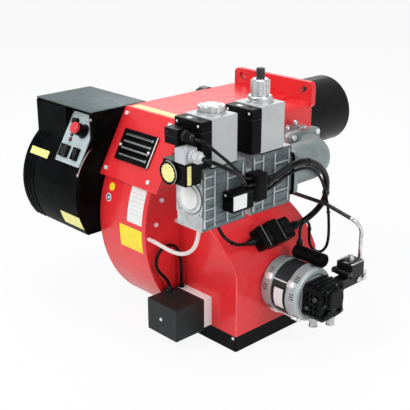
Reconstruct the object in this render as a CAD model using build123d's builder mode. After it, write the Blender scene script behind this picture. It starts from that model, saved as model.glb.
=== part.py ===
"""Dual fuel forced draught burner, a gas train beside a motor driven oil pump.

Frame: the origin is on the firing axis, at the boiler face of the mounting flange.
+Y is the way the flame goes, +Z is up and +X is the side of the gas train.
All sizes are in millimetres.
"""
import os
from math import acos, asin, atan2, cos, degrees, pi, radians, sin, sqrt, tan

from build123d import *

os.makedirs("parts", exist_ok=True)

# Stance: the firing axis above the floor, and the black plinth
axis_height = 386.0
plinth_height = 34.0
plinth_width = 255.0
plinth_depth = 239.0
plinth_wall = 4.0

# Base cabinet, with its arched roof
base_front_y = -318.0
base_width = 165.0
base_side_height = 162.0
base_roof_rise = 99.3
base_crown_inset = 13.0
sheet = 3.0

# Fan housing and its covers
housing_width = 147.0
housing_wall = 5.0
volute_radius = 242.0
volute_y = -168.0
volute_z = -161.0
toe_radius = 57.0
heel_radius = 160.0
housing_top_z = 64.0
cover_ridge_y = -328.0
cover_drop = 128.0
cover_overhang = 12.6
cover_width = 180.0
plate_thickness = 6.0
plate_inset = 8.0
duct_width = 77.0
duct_length = 138.0
duct_height = 154.0
throat_radius = 57.0

# Louvre in the slanted cover
louvre_width = 104.0
louvre_height = 66.0
louvre_from_ridge = 44.0
louvre_left = 29.0
louvre_frame = 8.0
louvre_blades = 5

# Fan
fan_y = -205.0
fan_z = -108.0
fan_radius = 120.0
fan_width = 92.0
fan_blades = 24
inlet_radius = 76.0
shaft_radius = 9.5
running_gap = 0.05

# Boiler flange and blast tube
flange_width = 230.0
flange_height = 210.0
flange_waist = 212.0
flange_ear = 56.0
ear_radius = 12.0
flange_thickness = 12.0
slot_spacing_x = 180.0
slot_spacing_z = 172.0
slot_length = 24.0
slot_width = 11.0
tube_radius = 76.0
tube_wall = 3.0
tube_length = 175.0
tube_lip = 12.0
tube_shoulder = 1.0
tube_root_step = 1.2

# Intake hood
hood_length = 197.0
hood_nose_y = -328.0
hood_nose_z = -111.0
hood_nose_radius = 137.0
hood_tail_y = -200.0
hood_bottom_z = -192.0
hood_box_front_y = -417.0
hood_box_back_y = -274.0
hood_top_z = 67.0
hood_wall = 3.0
hood_rib = 1.5

# Air damper in the floor of the hood
damper_y = -345.0
damper_half = 44.0
damper_shaft_radius = 4.0
floor_top_z = -181.0
floor_sheet = 3.0
damper_z = floor_top_z - floor_sheet / 2

# Control panel, set into the nose of the hood
panel_foot_y = -449.0
panel_foot_z = -47.0
panel_tilt = 30.0
panel_length = 116.0
panel_width = 90.0
panel_thickness = 3.0

# Gas train
train_x = 198.0
train_z = -23.0
train_front_y = -440.0
valve_length = 107.0
valve_pitch = 125.0
valve_width = 73.0
valve_bottom = 60.0
valve_top = 57.0
coil_width = 70.0
coil_length = 64.0
coil_height = 88.0
coil_setback = 20.0
terminal_depth = 25.0
terminal_height = 82.0
port_radius = 25.0
cap_radius = 24.0
cap_height = 14.0
knob_radius = 16.5
knob_height = 30.0
elbow_radius = 40.0
elbow_bend = 46.0
elbow_y = -80.0
gas_bore = 30.0
throttle_length = 40.0
throttle_shaft = 5.0

# Oil pump set on the right wall
motor_y = -194.0
motor_z = -266.0
motor_radius = 56.0
bell_length = 27.0
stator_length = 40.0
pump_length = 46.0
pump_radius = 36.0
oil_pipe_radius = 4.0

# Ignition transformer on the front wall
trafo_width = 88.0
trafo_height = 70.0
trafo_depth = 75.0
trafo_base_depth = 24.0
trafo_right = 67.0
trafo_lift = 32.0

# Small clearances
fit = 0.3
step = 0.1

# Places worked out from the sizes above
floor_z = -axis_height
plinth_z = floor_z + plinth_height
base_right_x = train_x
base_left_x = base_right_x - base_width
base_back_y = base_front_y + plinth_depth
housing_left_x = base_left_x - housing_width
plate_left_x = housing_left_x - plate_thickness
plate_front_y = -flange_thickness
cover_foot_z = housing_top_z + sheet - cover_drop
duct_right_x = base_left_x + duct_width
duct_front_y = plate_front_y - duct_length
duct_bottom_z = housing_top_z - duct_height


def along_circle(cy, cz, radius, angle):
    """Point on a circle in the YZ plane, by its angle in degrees above +Y."""
    return (cy + radius * cos(radians(angle)), cz + radius * sin(radians(angle)))


def volute_front(z):
    """Y of the front of the volute at height z."""
    return volute_y - sqrt(volute_radius ** 2 - (z - volute_z) ** 2)


cover_foot_y = volute_front(cover_foot_z) - cover_overhang
cover_slope = cover_ridge_y - cover_foot_y
slope_length = sqrt(cover_slope ** 2 + cover_drop ** 2)


def housing_side(inset=0.0):
    """Side view of the fan housing as a flat sketch, drawn inside its edge by the inset."""
    toe_sine = (volute_z - plinth_z - toe_radius) / (volute_radius - toe_radius)
    toe_angle = degrees(asin(toe_sine))
    toe_y = volute_y - (volute_radius - toe_radius) * cos(radians(toe_angle))
    toe_z = plinth_z + toe_radius
    brow = (volute_front(cover_foot_z), cover_foot_z)
    brow_angle = degrees(asin((cover_foot_z - volute_z) / volute_radius))
    wrap_middle = 180 + (toe_angle - brow_angle) / 2
    heel_y = plate_front_y - heel_radius
    heel_z = plinth_z + heel_radius
    with BuildSketch() as side:
        with BuildLine():
            top = Line((plate_front_y, housing_top_z), (cover_ridge_y + sheet, housing_top_z))
            Line(top @ 1, brow)
            wrap = ThreePointArc(brow, along_circle(volute_y, volute_z, volute_radius, wrap_middle),
                                 along_circle(volute_y, volute_z, volute_radius, 180 + toe_angle))
            toe = ThreePointArc(wrap @ 1, along_circle(toe_y, toe_z, toe_radius, 225 + toe_angle / 2),
                                (toe_y, plinth_z))
            sole = Line(toe @ 1, (heel_y, plinth_z))
            heel = ThreePointArc(sole @ 1, along_circle(heel_y, heel_z, heel_radius, -45),
                                 (plate_front_y, heel_z))
            Line(heel @ 1, top @ 0)
        make_face()
        if inset:
            offset(amount=-inset, mode=Mode.REPLACE)
    return side.sketch_local


# Base plinth, a folded black tray, open below
with BuildPart() as base_plinth:
    with BuildSketch(Plane.XY.offset(floor_z)):
        with Locations((base_right_x - plinth_width / 2, base_front_y + plinth_depth / 2)):
            Rectangle(plinth_width, plinth_depth)
    extrude(amount=plinth_height)
    fillet(base_plinth.edges().filter_by(Axis.Z), 3)
    offset(amount=-plinth_wall, openings=base_plinth.faces().sort_by(Axis.Z)[0])
base_plinth.part.label = "base_plinth"
export_step(base_plinth.part, "parts/base_plinth.step")

# Base cabinet, red sheet with an arched roof, open below
roof_z = plinth_z + base_side_height - plinth_height
roof_span = base_width - base_crown_inset
roof_radius = (roof_span ** 2 + base_roof_rise ** 2) / (2 * base_roof_rise)
roof_centre_x = base_left_x + base_crown_inset
roof_centre_z = roof_z + base_roof_rise - roof_radius
eaves_angle = degrees(atan2(roof_z - roof_centre_z, roof_span))


def roof_point(angle):
    """Point on the arched roof, by its angle in degrees above +X."""
    return (roof_centre_x + roof_radius * cos(radians(angle)),
            roof_centre_z + roof_radius * sin(radians(angle)))


with BuildPart() as base_cabinet:
    with BuildSketch(Plane.XZ.offset(-base_back_y)):
        with BuildLine():
            roof_end = (base_left_x, roof_centre_z
                        + sqrt(roof_radius ** 2 - base_crown_inset ** 2))
            floor_line = Line((base_left_x, plinth_z), (base_right_x, plinth_z))
            side = Line(floor_line @ 1, (base_right_x, roof_z))
            roof = ThreePointArc(side @ 1, roof_point(eaves_angle / 2 + 45), roof_end)
            Line(roof @ 1, floor_line @ 0)
        make_face()
    extrude(amount=plinth_depth)
    offset(amount=-sheet, openings=base_cabinet.faces().sort_by(Axis.Z)[0])
    roof_rim = base_cabinet.edges().filter_by(GeomType.CIRCLE).sort_by(Axis.Y)
    fillet(roof_rim[0], sheet * 0.9)
base_cabinet.part.label = "base_cabinet"
export_step(base_cabinet.part, "parts/base_cabinet.step")

# Fan housing, a red casting: the volute, its right wall and the duct behind the flange
duct_middle = (plate_front_y - duct_length / 2, housing_top_z - duct_height / 2)
with BuildPart() as fan_housing:
    with BuildSketch(Plane.YZ.offset(housing_left_x)):
        add(housing_side())
    extrude(amount=housing_width)
    with BuildSketch(Plane.YZ.offset(base_left_x)):
        with Locations(duct_middle):
            Rectangle(duct_length, duct_height)
    extrude(amount=duct_width)
    fillet(fan_housing.edges().filter_by(Axis.Y).group_by(Axis.X)[-1], 14)
    with BuildSketch(Plane.YZ.offset(housing_left_x)):
        add(housing_side(housing_wall))
    extrude(amount=housing_width - housing_wall, mode=Mode.SUBTRACT)
    with BuildSketch(Plane.YZ.offset(base_left_x - housing_wall)):
        with Locations(duct_middle):
            Rectangle(duct_length - 2 * housing_wall, duct_height - 2 * housing_wall)
    extrude(amount=duct_width, mode=Mode.SUBTRACT)
    with BuildSketch(Plane.XZ.offset(-plate_front_y)):
        Circle(throat_radius)
    extrude(amount=housing_wall, mode=Mode.SUBTRACT)
    with BuildSketch(Plane.YZ.offset(duct_right_x)):
        with Locations((elbow_y, train_z)):
            Circle(gas_bore)
    extrude(amount=-housing_wall, mode=Mode.SUBTRACT)
fan_housing.part.label = "fan_housing"
export_step(fan_housing.part, "parts/fan_housing.step")

# Inlet plate, which closes the volute on the left and carries the bell mouth of the fan
fan_axis = Axis((0, fan_y, fan_z), (1, 0, 0))
with BuildPart() as inlet_plate:
    with BuildSketch(Plane.YZ.offset(plate_left_x)):
        add(housing_side(plate_inset))
        with Locations((fan_y, fan_z)):
            Circle(inlet_radius, mode=Mode.SUBTRACT)
    extrude(amount=plate_thickness)
    mouth_x = plate_left_x + plate_thickness
    mouth_z = fan_z + inlet_radius
    with BuildSketch(Plane.XZ.offset(-fan_y)):
        with BuildLine():
            mouth = Polyline((mouth_x, mouth_z + 3), (mouth_x, mouth_z))
            Spline(mouth @ 1, (mouth_x + 10, mouth_z - 7), (mouth_x + 20, mouth_z - 9))
            Polyline((mouth_x + 20, mouth_z - 9), (mouth_x + 20, mouth_z - 6))
            Spline((mouth_x + 20, mouth_z - 6), (mouth_x + 11, mouth_z - 4), mouth @ 0)
        make_face()
    revolve(axis=fan_axis)
inlet_plate.part.label = "inlet_plate"
export_step(inlet_plate.part, "parts/inlet_plate.step")

# Top cover, one bent red sheet: the flat top and the slanted front with the louvre hole
slope_angle = atan2(cover_slope, cover_drop)
slope_plane = Plane(origin=(plate_left_x + louvre_left + louvre_width / 2, cover_ridge_y,
                            housing_top_z + sheet),
                    x_dir=(1, 0, 0), z_dir=(0, -cos(slope_angle), sin(slope_angle)))
louvre_middle = -louvre_from_ridge - louvre_height / 2
brow_y = volute_front(cover_foot_z) - fit
inner_ridge_y = cover_ridge_y + sheet * (1 - sin(slope_angle)) / cos(slope_angle)
inner_foot_y = inner_ridge_y - (cover_drop - sheet) * tan(slope_angle)
with BuildPart() as top_cover:
    with BuildSketch(Plane.YZ.offset(plate_left_x)):
        Polygon((plate_front_y, housing_top_z + sheet), (cover_ridge_y, housing_top_z + sheet),
                (cover_foot_y, cover_foot_z), (cover_foot_y, cover_foot_z - sheet),
                (volute_front(cover_foot_z - sheet) - fit, cover_foot_z - sheet), (brow_y, cover_foot_z),
                (inner_foot_y, cover_foot_z), (inner_ridge_y, housing_top_z),
                (plate_front_y, housing_top_z), align=None)
    extrude(amount=cover_width)
    with BuildSketch(slope_plane):
        with Locations((0, louvre_middle)):
            Rectangle(louvre_width - 2 * louvre_frame, louvre_height - 2 * louvre_frame)
    extrude(amount=-2 * sheet, mode=Mode.SUBTRACT)
    fillet(top_cover.edges().filter_by(Axis.X).sort_by(Axis.Z)[-2:].sort_by(Axis.Y)[0], sheet)
top_cover.part.label = "top_cover"
export_step(top_cover.part, "parts/top_cover.step")

# Louvre grille, a black frame on the slanted sheet with tilted blades
blade_pitch = (louvre_height - 2 * louvre_frame) / louvre_blades
with BuildPart() as louvre_grille:
    with BuildSketch(slope_plane):
        with Locations((0, louvre_middle)):
            RectangleRounded(louvre_width, louvre_height, 2)
            Rectangle(louvre_width - 2 * louvre_frame, louvre_height - 2 * louvre_frame,
                      mode=Mode.SUBTRACT)
    extrude(amount=4)
    for blade in range(louvre_blades):
        height = louvre_middle + (blade - (louvre_blades - 1) / 2) * blade_pitch
        blade_plane = Plane(origin=slope_plane.from_local_coords((0, height, 2)), x_dir=(1, 0, 0),
                            z_dir=(0, -cos(slope_angle - 0.9), sin(slope_angle - 0.9)))
        with BuildSketch(blade_plane):
            Rectangle(louvre_width - 2 * louvre_frame, 0.72 * blade_pitch)
        extrude(amount=0.8, both=True)
louvre_grille.part.label = "louvre_grille"
export_step(louvre_grille.part, "parts/louvre_grille.step")

# Mounting flange, a red plate with ears and four slots that point at the axis
slot_angle = degrees(atan2(slot_spacing_z, slot_spacing_x))
tube_root_radius = tube_radius - tube_root_step
with BuildPart() as mounting_flange:
    with BuildSketch(Plane.XZ.offset(-plate_front_y)):
        RectangleRounded(flange_waist, flange_height - flange_ear, 1)
        with GridLocations(0, flange_height - flange_ear, 1, 2):
            RectangleRounded(flange_width, flange_ear, ear_radius)
    extrude(amount=-flange_thickness)
    with BuildSketch(Plane.XZ):
        Circle(tube_root_radius + 2 * step)
        for side_x in (-1, 1):
            for side_z in (-1, 1):
                place = Location((side_x * slot_spacing_x / 2, side_z * slot_spacing_z / 2),
                                 side_x * side_z * slot_angle)
                with Locations(place):
                    SlotOverall(slot_length, slot_width)
    extrude(amount=flange_thickness, mode=Mode.SUBTRACT)
mounting_flange.part.label = "mounting_flange"
export_step(mounting_flange.part, "parts/mounting_flange.step")

# Blast tube, black, seated on the back wall of the housing, with an inward lip at its mouth. Its
# root is a little slimmer where it passes through the flange.
tube_lip_radius = tube_radius - tube_lip
with BuildPart() as blast_tube:
    with BuildSketch(Plane.YZ):
        with BuildLine():
            Polyline((plate_front_y, throat_radius + 1), (plate_front_y, tube_root_radius),
                     (tube_shoulder, tube_root_radius), (tube_shoulder, tube_radius),
                     (tube_length, tube_radius), (tube_length, tube_lip_radius),
                     (tube_length - 8, tube_lip_radius), (tube_length - 20, tube_radius - tube_wall),
                     (plate_front_y + 4, tube_radius - tube_wall), (plate_front_y + 4, throat_radius + 1),
                     close=True)
        make_face()
    revolve(axis=Axis.Y)
    fillet(blast_tube.faces().sort_by(Axis.Y)[-1].outer_wire().edges(), 1.5)
blast_tube.part.label = "blast_tube"
export_step(blast_tube.part, "parts/blast_tube.step")

# Intake hood, a black moulding: a round nose, a box on top and an open underside
hood_right_x = plate_left_x
hood_left_x = hood_right_x - hood_length
recess_rim = 7.0
recess_plane = Plane(origin=(hood_right_x - panel_width / 2, panel_foot_y, panel_foot_z),
                     x_dir=(1, 0, 0),
                     z_dir=(0, -cos(radians(panel_tilt)), sin(radians(panel_tilt))))


def hood_side(inset=0.0):
    """Side view of the hood as a flat sketch, drawn inside its edge by the inset."""
    radius = hood_nose_radius - inset
    foot = sqrt(radius ** 2 - (hood_bottom_z - hood_nose_z) ** 2)
    box_front = hood_box_front_y + inset
    box_back = hood_box_back_y - inset
    brow_z = hood_nose_z + sqrt(radius ** 2 - (box_front - hood_nose_y) ** 2)
    with BuildSketch() as side:
        with BuildLine():
            nose = ThreePointArc((hood_nose_y - foot, hood_bottom_z),
                                 (hood_nose_y - radius, hood_nose_z), (box_front, brow_z))
            box = Polyline(nose @ 1, (box_front, hood_top_z - inset), (box_back, hood_top_z - inset),
                           (box_back, hood_nose_z + radius), (hood_tail_y, hood_nose_z + radius))
            tail = ThreePointArc(box @ 1, (hood_tail_y + radius, hood_nose_z),
                                 (hood_tail_y + foot, hood_bottom_z))
            Line(tail @ 1, nose @ 0)
        make_face()
    return side.sketch_local


with BuildPart() as hood_void:
    with BuildSketch(Plane.YZ.offset(hood_left_x + hood_wall)):
        add(hood_side(hood_wall))
    extrude(amount=hood_length - 2 * hood_wall)
    with BuildSketch(recess_plane.offset(-hood_wall)):
        with Locations((-recess_rim / 2, panel_length / 2)):
            Rectangle(panel_width - recess_rim + 2 * hood_wall, panel_length + 2 * hood_wall)
    extrude(amount=80, mode=Mode.SUBTRACT)

with BuildPart() as intake_hood:
    with BuildSketch(Plane.YZ.offset(hood_left_x)):
        add(hood_side())
    extrude(amount=hood_length)
    fillet(intake_hood.edges().filter_by(Axis.X).group_by(Axis.Z)[-1], 8)
    for rib in range(3):
        with BuildSketch(Plane.YZ.offset(hood_left_x + 8 + 13 * rib)):
            with Locations((hood_nose_y, hood_nose_z)):
                Circle(hood_nose_radius + hood_rib)
            with Locations((hood_nose_y + hood_nose_radius, hood_nose_z)):
                Rectangle(3 * hood_nose_radius, 4 * hood_nose_radius, mode=Mode.SUBTRACT)
            with Locations((hood_nose_y, hood_bottom_z)):
                Rectangle(4 * hood_nose_radius, hood_nose_radius, align=(Align.CENTER, Align.MAX),
                          mode=Mode.SUBTRACT)
        extrude(amount=6)
    with BuildSketch(recess_plane):
        with Locations((-recess_rim / 2, panel_length / 2)):
            Rectangle(panel_width - recess_rim, panel_length)
    extrude(amount=80, mode=Mode.SUBTRACT)
    add(hood_void.part, mode=Mode.SUBTRACT)
    with BuildSketch(Plane.YZ.offset(hood_right_x)):
        with Locations((fan_y, fan_z)):
            Circle(inlet_radius + 4)
    extrude(amount=-hood_wall, mode=Mode.SUBTRACT)
    with BuildSketch(Plane.YZ.offset(hood_left_x)):
        with Locations((damper_y, damper_z)):
            Circle(damper_shaft_radius + fit)
    extrude(amount=hood_wall, mode=Mode.SUBTRACT)
intake_hood.part.label = "intake_hood"
export_step(intake_hood.part, "parts/intake_hood.step")

# Control panel, a light grey plate on the floor of the recess, with holes for what it carries
panel_plane = recess_plane
lamp_places = [(-22, 75), (-21, 64), (-20, 53)]
fuse_place = (-22, 92)
reset_place = (12, 77)
selector_place = (-22, 27)
switch_place = (16, 27)
lamp_radius = 3.2
fuse_radius = 6.0
reset_radius = 13.0
reset_height = 18.0
reset_cap_radius = 7.5
rocker_width = 12.0
rocker_length = 21.0
rocker_pivot = 3.0
with BuildPart() as control_panel:
    with BuildSketch(panel_plane):
        with Locations((-recess_rim / 2, panel_length / 2)):
            RectangleRounded(panel_width - recess_rim - 2 * step, panel_length - 6, 1.5)
        with Locations(*lamp_places):
            Circle(lamp_radius, mode=Mode.SUBTRACT)
        with Locations(fuse_place):
            Circle(fuse_radius, mode=Mode.SUBTRACT)
        with Locations(reset_place):
            Circle(reset_cap_radius + fit, mode=Mode.SUBTRACT)
    extrude(amount=panel_thickness)
control_panel.part.label = "control_panel"
export_step(control_panel.part, "parts/control_panel.step")

# Pilot lamps, three domed lenses seated in the panel
with BuildPart() as pilot_lamps:
    with BuildSketch(panel_plane):
        with Locations(*lamp_places):
            Circle(lamp_radius - step)
    extrude(amount=panel_thickness + 3)
    fillet(pilot_lamps.edges().group_by(Axis(panel_plane.origin, panel_plane.z_dir))[-1], 2)
pilot_lamps.part.label = "pilot_lamps"
export_step(pilot_lamps.part, "parts/pilot_lamps.step")

# Panel fittings: the fuse holder, the collar that guides the reset button, and the rocker frames,
# each with sockets for the trunnions of its rocker
frame_height = 7.0
frame_edge = 2.5
trunnion_radius = 1.2
selector_width = 20.0
rocker_tilt = 12.0
with BuildPart() as panel_fittings:
    with BuildSketch(panel_plane.offset(step)):
        with Locations(fuse_place):
            Circle(fuse_radius - step)
    extrude(amount=panel_thickness + 9)
    with BuildSketch(panel_plane.offset(panel_thickness)):
        with Locations(reset_place):
            Circle(reset_radius)
            Circle(reset_cap_radius + fit, mode=Mode.SUBTRACT)
    extrude(amount=reset_height)
    for (place_x, place_y), width in ((selector_place, selector_width), (switch_place, rocker_width)):
        with BuildSketch(panel_plane.offset(panel_thickness)):
            with Locations((place_x, place_y)):
                Rectangle(width + 2 * frame_edge + 2 * fit, rocker_length + 2 * frame_edge + 2 * fit)
                Rectangle(width + 2 * fit, rocker_length + 2 * fit, mode=Mode.SUBTRACT)
        extrude(amount=frame_height)
        socket = panel_plane.from_local_coords((place_x, place_y, panel_thickness + frame_height / 2 + 1))
        with BuildSketch(Plane(origin=socket, x_dir=panel_plane.y_dir, z_dir=(1, 0, 0))):
            Circle(trunnion_radius + running_gap)
        extrude(amount=width, both=True, mode=Mode.SUBTRACT)
panel_fittings.part.label = "panel_fittings"
export_step(panel_fittings.part, "parts/panel_fittings.step")

# Reset button, a mushroom cap on a stem that slides in the collar
reset_travel = 4.0
with BuildPart() as reset_button:
    with BuildSketch(panel_plane.offset(reset_travel + 1)):
        with Locations(reset_place):
            Circle(reset_cap_radius)
    extrude(amount=panel_thickness + reset_height)
    with BuildSketch(panel_plane.offset(panel_thickness + reset_height + reset_travel + 0.5)):
        with Locations(reset_place):
            Circle(reset_radius - 1)
    extrude(amount=7)
    fillet(reset_button.edges().group_by(Axis(panel_plane.origin, panel_plane.z_dir))[-1], 3)
reset_button.part.label = "reset_button"
export_step(reset_button.part, "parts/reset_button.step")


def rocker_side(tilt):
    """Side view of a rocker about its pivot, turned by the tilt in degrees."""
    half = rocker_length / 2 - 1
    with BuildSketch() as side:
        with Locations(Location((0, 0), tilt)):
            Polygon((-half, -1.0), (-2.5, -3.0), (2.5, -3.0), (half, -1.0), (half, 2.6), (0, 1.6),
                    (-half, 2.6), align=None)
    return side.sketch_local


with BuildPart() as fuel_selector:
    pivot = panel_plane.from_local_coords((selector_place[0], selector_place[1],
                                           panel_thickness + frame_height / 2 + 1))
    with BuildSketch(Plane(origin=pivot, x_dir=panel_plane.y_dir, z_dir=(1, 0, 0))):
        add(rocker_side(0))
    extrude(amount=selector_width / 2, both=True)
    with BuildSketch(Plane(origin=pivot, x_dir=panel_plane.y_dir, z_dir=(1, 0, 0))):
        Circle(trunnion_radius)
    extrude(amount=selector_width / 2 + 2, both=True)
fuel_selector.part.label = "fuel_selector"
export_step(fuel_selector.part, "parts/fuel_selector.step")

with BuildPart() as burner_switch:
    pivot = panel_plane.from_local_coords((switch_place[0], switch_place[1],
                                           panel_thickness + frame_height / 2 + 1))
    with BuildSketch(Plane(origin=pivot, x_dir=panel_plane.y_dir, z_dir=(1, 0, 0))):
        add(rocker_side(rocker_tilt))
    extrude(amount=rocker_width / 2, both=True)
    with BuildSketch(Plane(origin=pivot, x_dir=panel_plane.y_dir, z_dir=(1, 0, 0))):
        Circle(trunnion_radius)
    extrude(amount=rocker_width / 2 + 2, both=True)
burner_switch.part.label = "burner_switch"
export_step(burner_switch.part, "parts/burner_switch.step")

# Fan motor in the hood, finned, cast with a bracket whose three legs stand on the wall of the hood
fan_motor_radius = 54.0
fan_motor_length = 112.0
motor_face_x = -160.0
bracket_thickness = 8.0
motor_fins = 20
with BuildPart() as fan_motor:
    with BuildSketch(Plane.YZ.offset(motor_face_x)):
        with Locations((fan_y, fan_z)):
            Circle(fan_motor_radius - 5)
            with PolarLocations(fan_motor_radius - 5, motor_fins):
                Rectangle(9, 3)
    extrude(amount=-(fan_motor_length - 22))
    with BuildSketch(Plane.YZ.offset(motor_face_x - (fan_motor_length - 22))):
        with Locations((fan_y, fan_z)):
            Circle(fan_motor_radius - 2)
    extrude(amount=-22)
    fillet(fan_motor.edges().group_by(Axis.X)[0], 7)
    with BuildSketch(Plane.YZ.offset(motor_face_x)):
        with Locations((fan_y, fan_z)):
            Circle(shaft_radius + running_gap)
    extrude(amount=-36, mode=Mode.SUBTRACT)
    with BuildSketch(Plane.YZ.offset(motor_face_x)):
        with Locations((fan_y, fan_z)):
            Circle(fan_motor_radius - 1)
            with PolarLocations(inlet_radius - 6, 3, start_angle=90):
                Rectangle(56, 16)
            Circle(36, mode=Mode.SUBTRACT)
    extrude(amount=bracket_thickness)
    with BuildSketch(Plane.YZ.offset(motor_face_x + bracket_thickness)):
        with Locations((fan_y, fan_z)):
            with PolarLocations(inlet_radius + 15, 3, start_angle=90):
                Rectangle(14, 16)
    extrude(amount=hood_right_x - hood_wall - motor_face_x - bracket_thickness)
fan_motor.part.label = "fan_motor"
export_step(fan_motor.part, "parts/fan_motor.step")

# Forward curved impeller, with the shaft that is pressed in its hub
impeller_left_x = -90.0
impeller_right_x = impeller_left_x + fan_width
hub_radius = 22.0
with BuildPart() as fan_impeller:
    with BuildSketch(Plane.YZ.offset(impeller_right_x)):
        with Locations((fan_y, fan_z)):
            Circle(fan_radius)
    extrude(amount=-2.5)
    with BuildSketch(Plane.YZ.offset(impeller_right_x)):
        with Locations((fan_y, fan_z)):
            Circle(hub_radius)
    extrude(amount=-34)
    with BuildSketch(Plane.YZ.offset(impeller_left_x)):
        with Locations((fan_y, fan_z)):
            Circle(fan_radius)
            Circle(fan_radius - 24, mode=Mode.SUBTRACT)
    extrude(amount=3)
    with BuildSketch(Plane.YZ.offset(impeller_left_x + 3)):
        with Locations((fan_y, fan_z)):
            with PolarLocations(fan_radius - 12, fan_blades):
                with Locations(Location((0, 0), 38)):
                    Rectangle(22, 2)
    extrude(amount=fan_width - 5.5)
    with BuildSketch(Plane.YZ.offset(motor_face_x - 34)):
        with Locations((fan_y, fan_z)):
            Circle(shaft_radius)
    extrude(amount=impeller_right_x + 6 - motor_face_x + 34)
    with BuildSketch(Plane.YZ.offset(impeller_right_x)):
        with Locations((fan_y, fan_z)):
            Circle(shaft_radius + 5)
    extrude(amount=8)
fan_impeller.part.label = "fan_impeller"
export_step(fan_impeller.part, "parts/fan_impeller.step")

# Intake floor, a sheet across the underside of the hood with the opening of the air damper
with BuildPart() as intake_floor:
    with BuildSketch(Plane.XY.offset(floor_top_z)):
        floor_reach = sqrt((hood_nose_radius - hood_wall) ** 2
                           - (hood_nose_z - floor_top_z + floor_sheet) ** 2) - fit
        floor_front = hood_nose_y - floor_reach
        floor_back = hood_tail_y + floor_reach
        with Locations(((hood_left_x + hood_right_x) / 2, (floor_front + floor_back) / 2)):
            Rectangle(hood_length - 2 * hood_wall, floor_back - floor_front)
        with Locations(((hood_left_x + hood_right_x) / 2, damper_y)):
            Rectangle(hood_length - 40, 2 * damper_half + 2, mode=Mode.SUBTRACT)
    extrude(amount=-floor_sheet)
    for block_x in (hood_left_x + 13, hood_right_x - 13):
        with Locations((block_x, damper_y, damper_z)):
            Box(13, 14, 11)
    with BuildSketch(Plane.YZ.offset(hood_left_x)):
        with Locations((damper_y, damper_z)):
            Circle(damper_shaft_radius + running_gap)
    extrude(amount=hood_length, mode=Mode.SUBTRACT)
intake_floor.part.label = "intake_floor"
export_step(intake_floor.part, "parts/intake_floor.step")

# Air damper, a flap on its shaft, lying closed in the opening of the intake floor
servo_depth = 36.0
servo_width = 58.0
servo_height = 84.0
servo_lift = 28.0
with BuildPart() as air_damper:
    with Locations(((hood_left_x + hood_right_x) / 2, damper_y, damper_z)):
        Box(hood_length - 42, 2 * damper_half, 2)
    with BuildSketch(Plane.YZ.offset(hood_left_x - 14)):
        with Locations((damper_y, damper_z)):
            Circle(damper_shaft_radius)
    extrude(amount=hood_length + 14 - hood_wall - 4)
air_damper.part.label = "air_damper"
export_step(air_damper.part, "parts/air_damper.step")

# Damper servo on the closed end of the hood
with BuildPart() as damper_servo:
    with Locations((hood_left_x, damper_y, damper_z + servo_lift)):
        Box(servo_depth, servo_width, servo_height, align=(Align.MAX, Align.CENTER, Align.CENTER))
    fillet(damper_servo.edges().filter_by(Axis.X), 4)
    chamfer(damper_servo.edges().group_by(Axis.X)[0], 2)
    with BuildSketch(Plane.YZ.offset(hood_left_x)):
        with Locations((damper_y, damper_z)):
            Circle(damper_shaft_radius + running_gap)
    extrude(amount=-15, mode=Mode.SUBTRACT)
damper_servo.part.label = "damper_servo"
export_step(damper_servo.part, "parts/damper_servo.step")

# Air pressure switch on the inlet plate, a round case with a clear cap
switch_radius = 29.0
switch_base = 22.0
switch_cap = 24.0
switch_y = plate_front_y - 78
switch_z = housing_top_z - 24
with BuildPart() as air_switch:
    with BuildSketch(Plane.YZ.offset(plate_left_x)):
        with Locations((switch_y, switch_z)):
            Circle(switch_radius)
    extrude(amount=-switch_base)
    with BuildSketch(Plane.YZ.offset(plate_left_x - switch_base)):
        with Locations((switch_y, switch_z)):
            Circle(switch_radius - 3)
    extrude(amount=-switch_cap)
    fillet(air_switch.edges().group_by(Axis.X)[0], 4)
air_switch.part.label = "air_switch"
export_step(air_switch.part, "parts/air_switch.step")

# Gas valve bodies: a ribbed casting between two square flanges, bored right through
train_back_y = train_front_y + valve_length
end_flange = 12.0
valve_bore = 20.0
body_middle_z = train_z + (valve_top - valve_bottom) / 2
train_bolt_x = 27.0
bolt_radius = 3.3
with BuildPart() as valve_body_1:
    with BuildSketch(Plane.XZ.offset(-train_front_y)):
        with Locations((train_x, body_middle_z)):
            RectangleRounded(valve_width - 5, valve_bottom + valve_top, 4)
    extrude(amount=-valve_length)
    for flange_y in (train_front_y, train_back_y - end_flange):
        with BuildSketch(Plane.XZ.offset(-flange_y)):
            with Locations((train_x, train_z)):
                RectangleRounded(valve_width, valve_width, 5)
        extrude(amount=-end_flange)
    for rib in range(6):
        with Locations((train_x, (train_front_y + train_back_y) / 2, train_z - 50 + 18 * rib)):
            Box(valve_width - 1, valve_length - 2 * end_flange, 2.5)
    with BuildSketch(Plane.XZ.offset(-train_front_y)):
        with Locations((train_x, train_z)):
            Circle(valve_bore)
    extrude(amount=-valve_length, mode=Mode.SUBTRACT)
    for end_y, way in ((train_front_y, -1), (train_back_y, 1)):
        with BuildSketch(Plane.XZ.offset(-end_y)):
            with Locations((train_x, train_z)):
                with GridLocations(2 * train_bolt_x, 2 * train_bolt_x, 2, 2):
                    Circle(bolt_radius)
        extrude(amount=way * end_flange, mode=Mode.SUBTRACT)
valve_body_1.part.label = "valve_body_1"
export_step(valve_body_1.part, "parts/valve_body_1.step")

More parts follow.
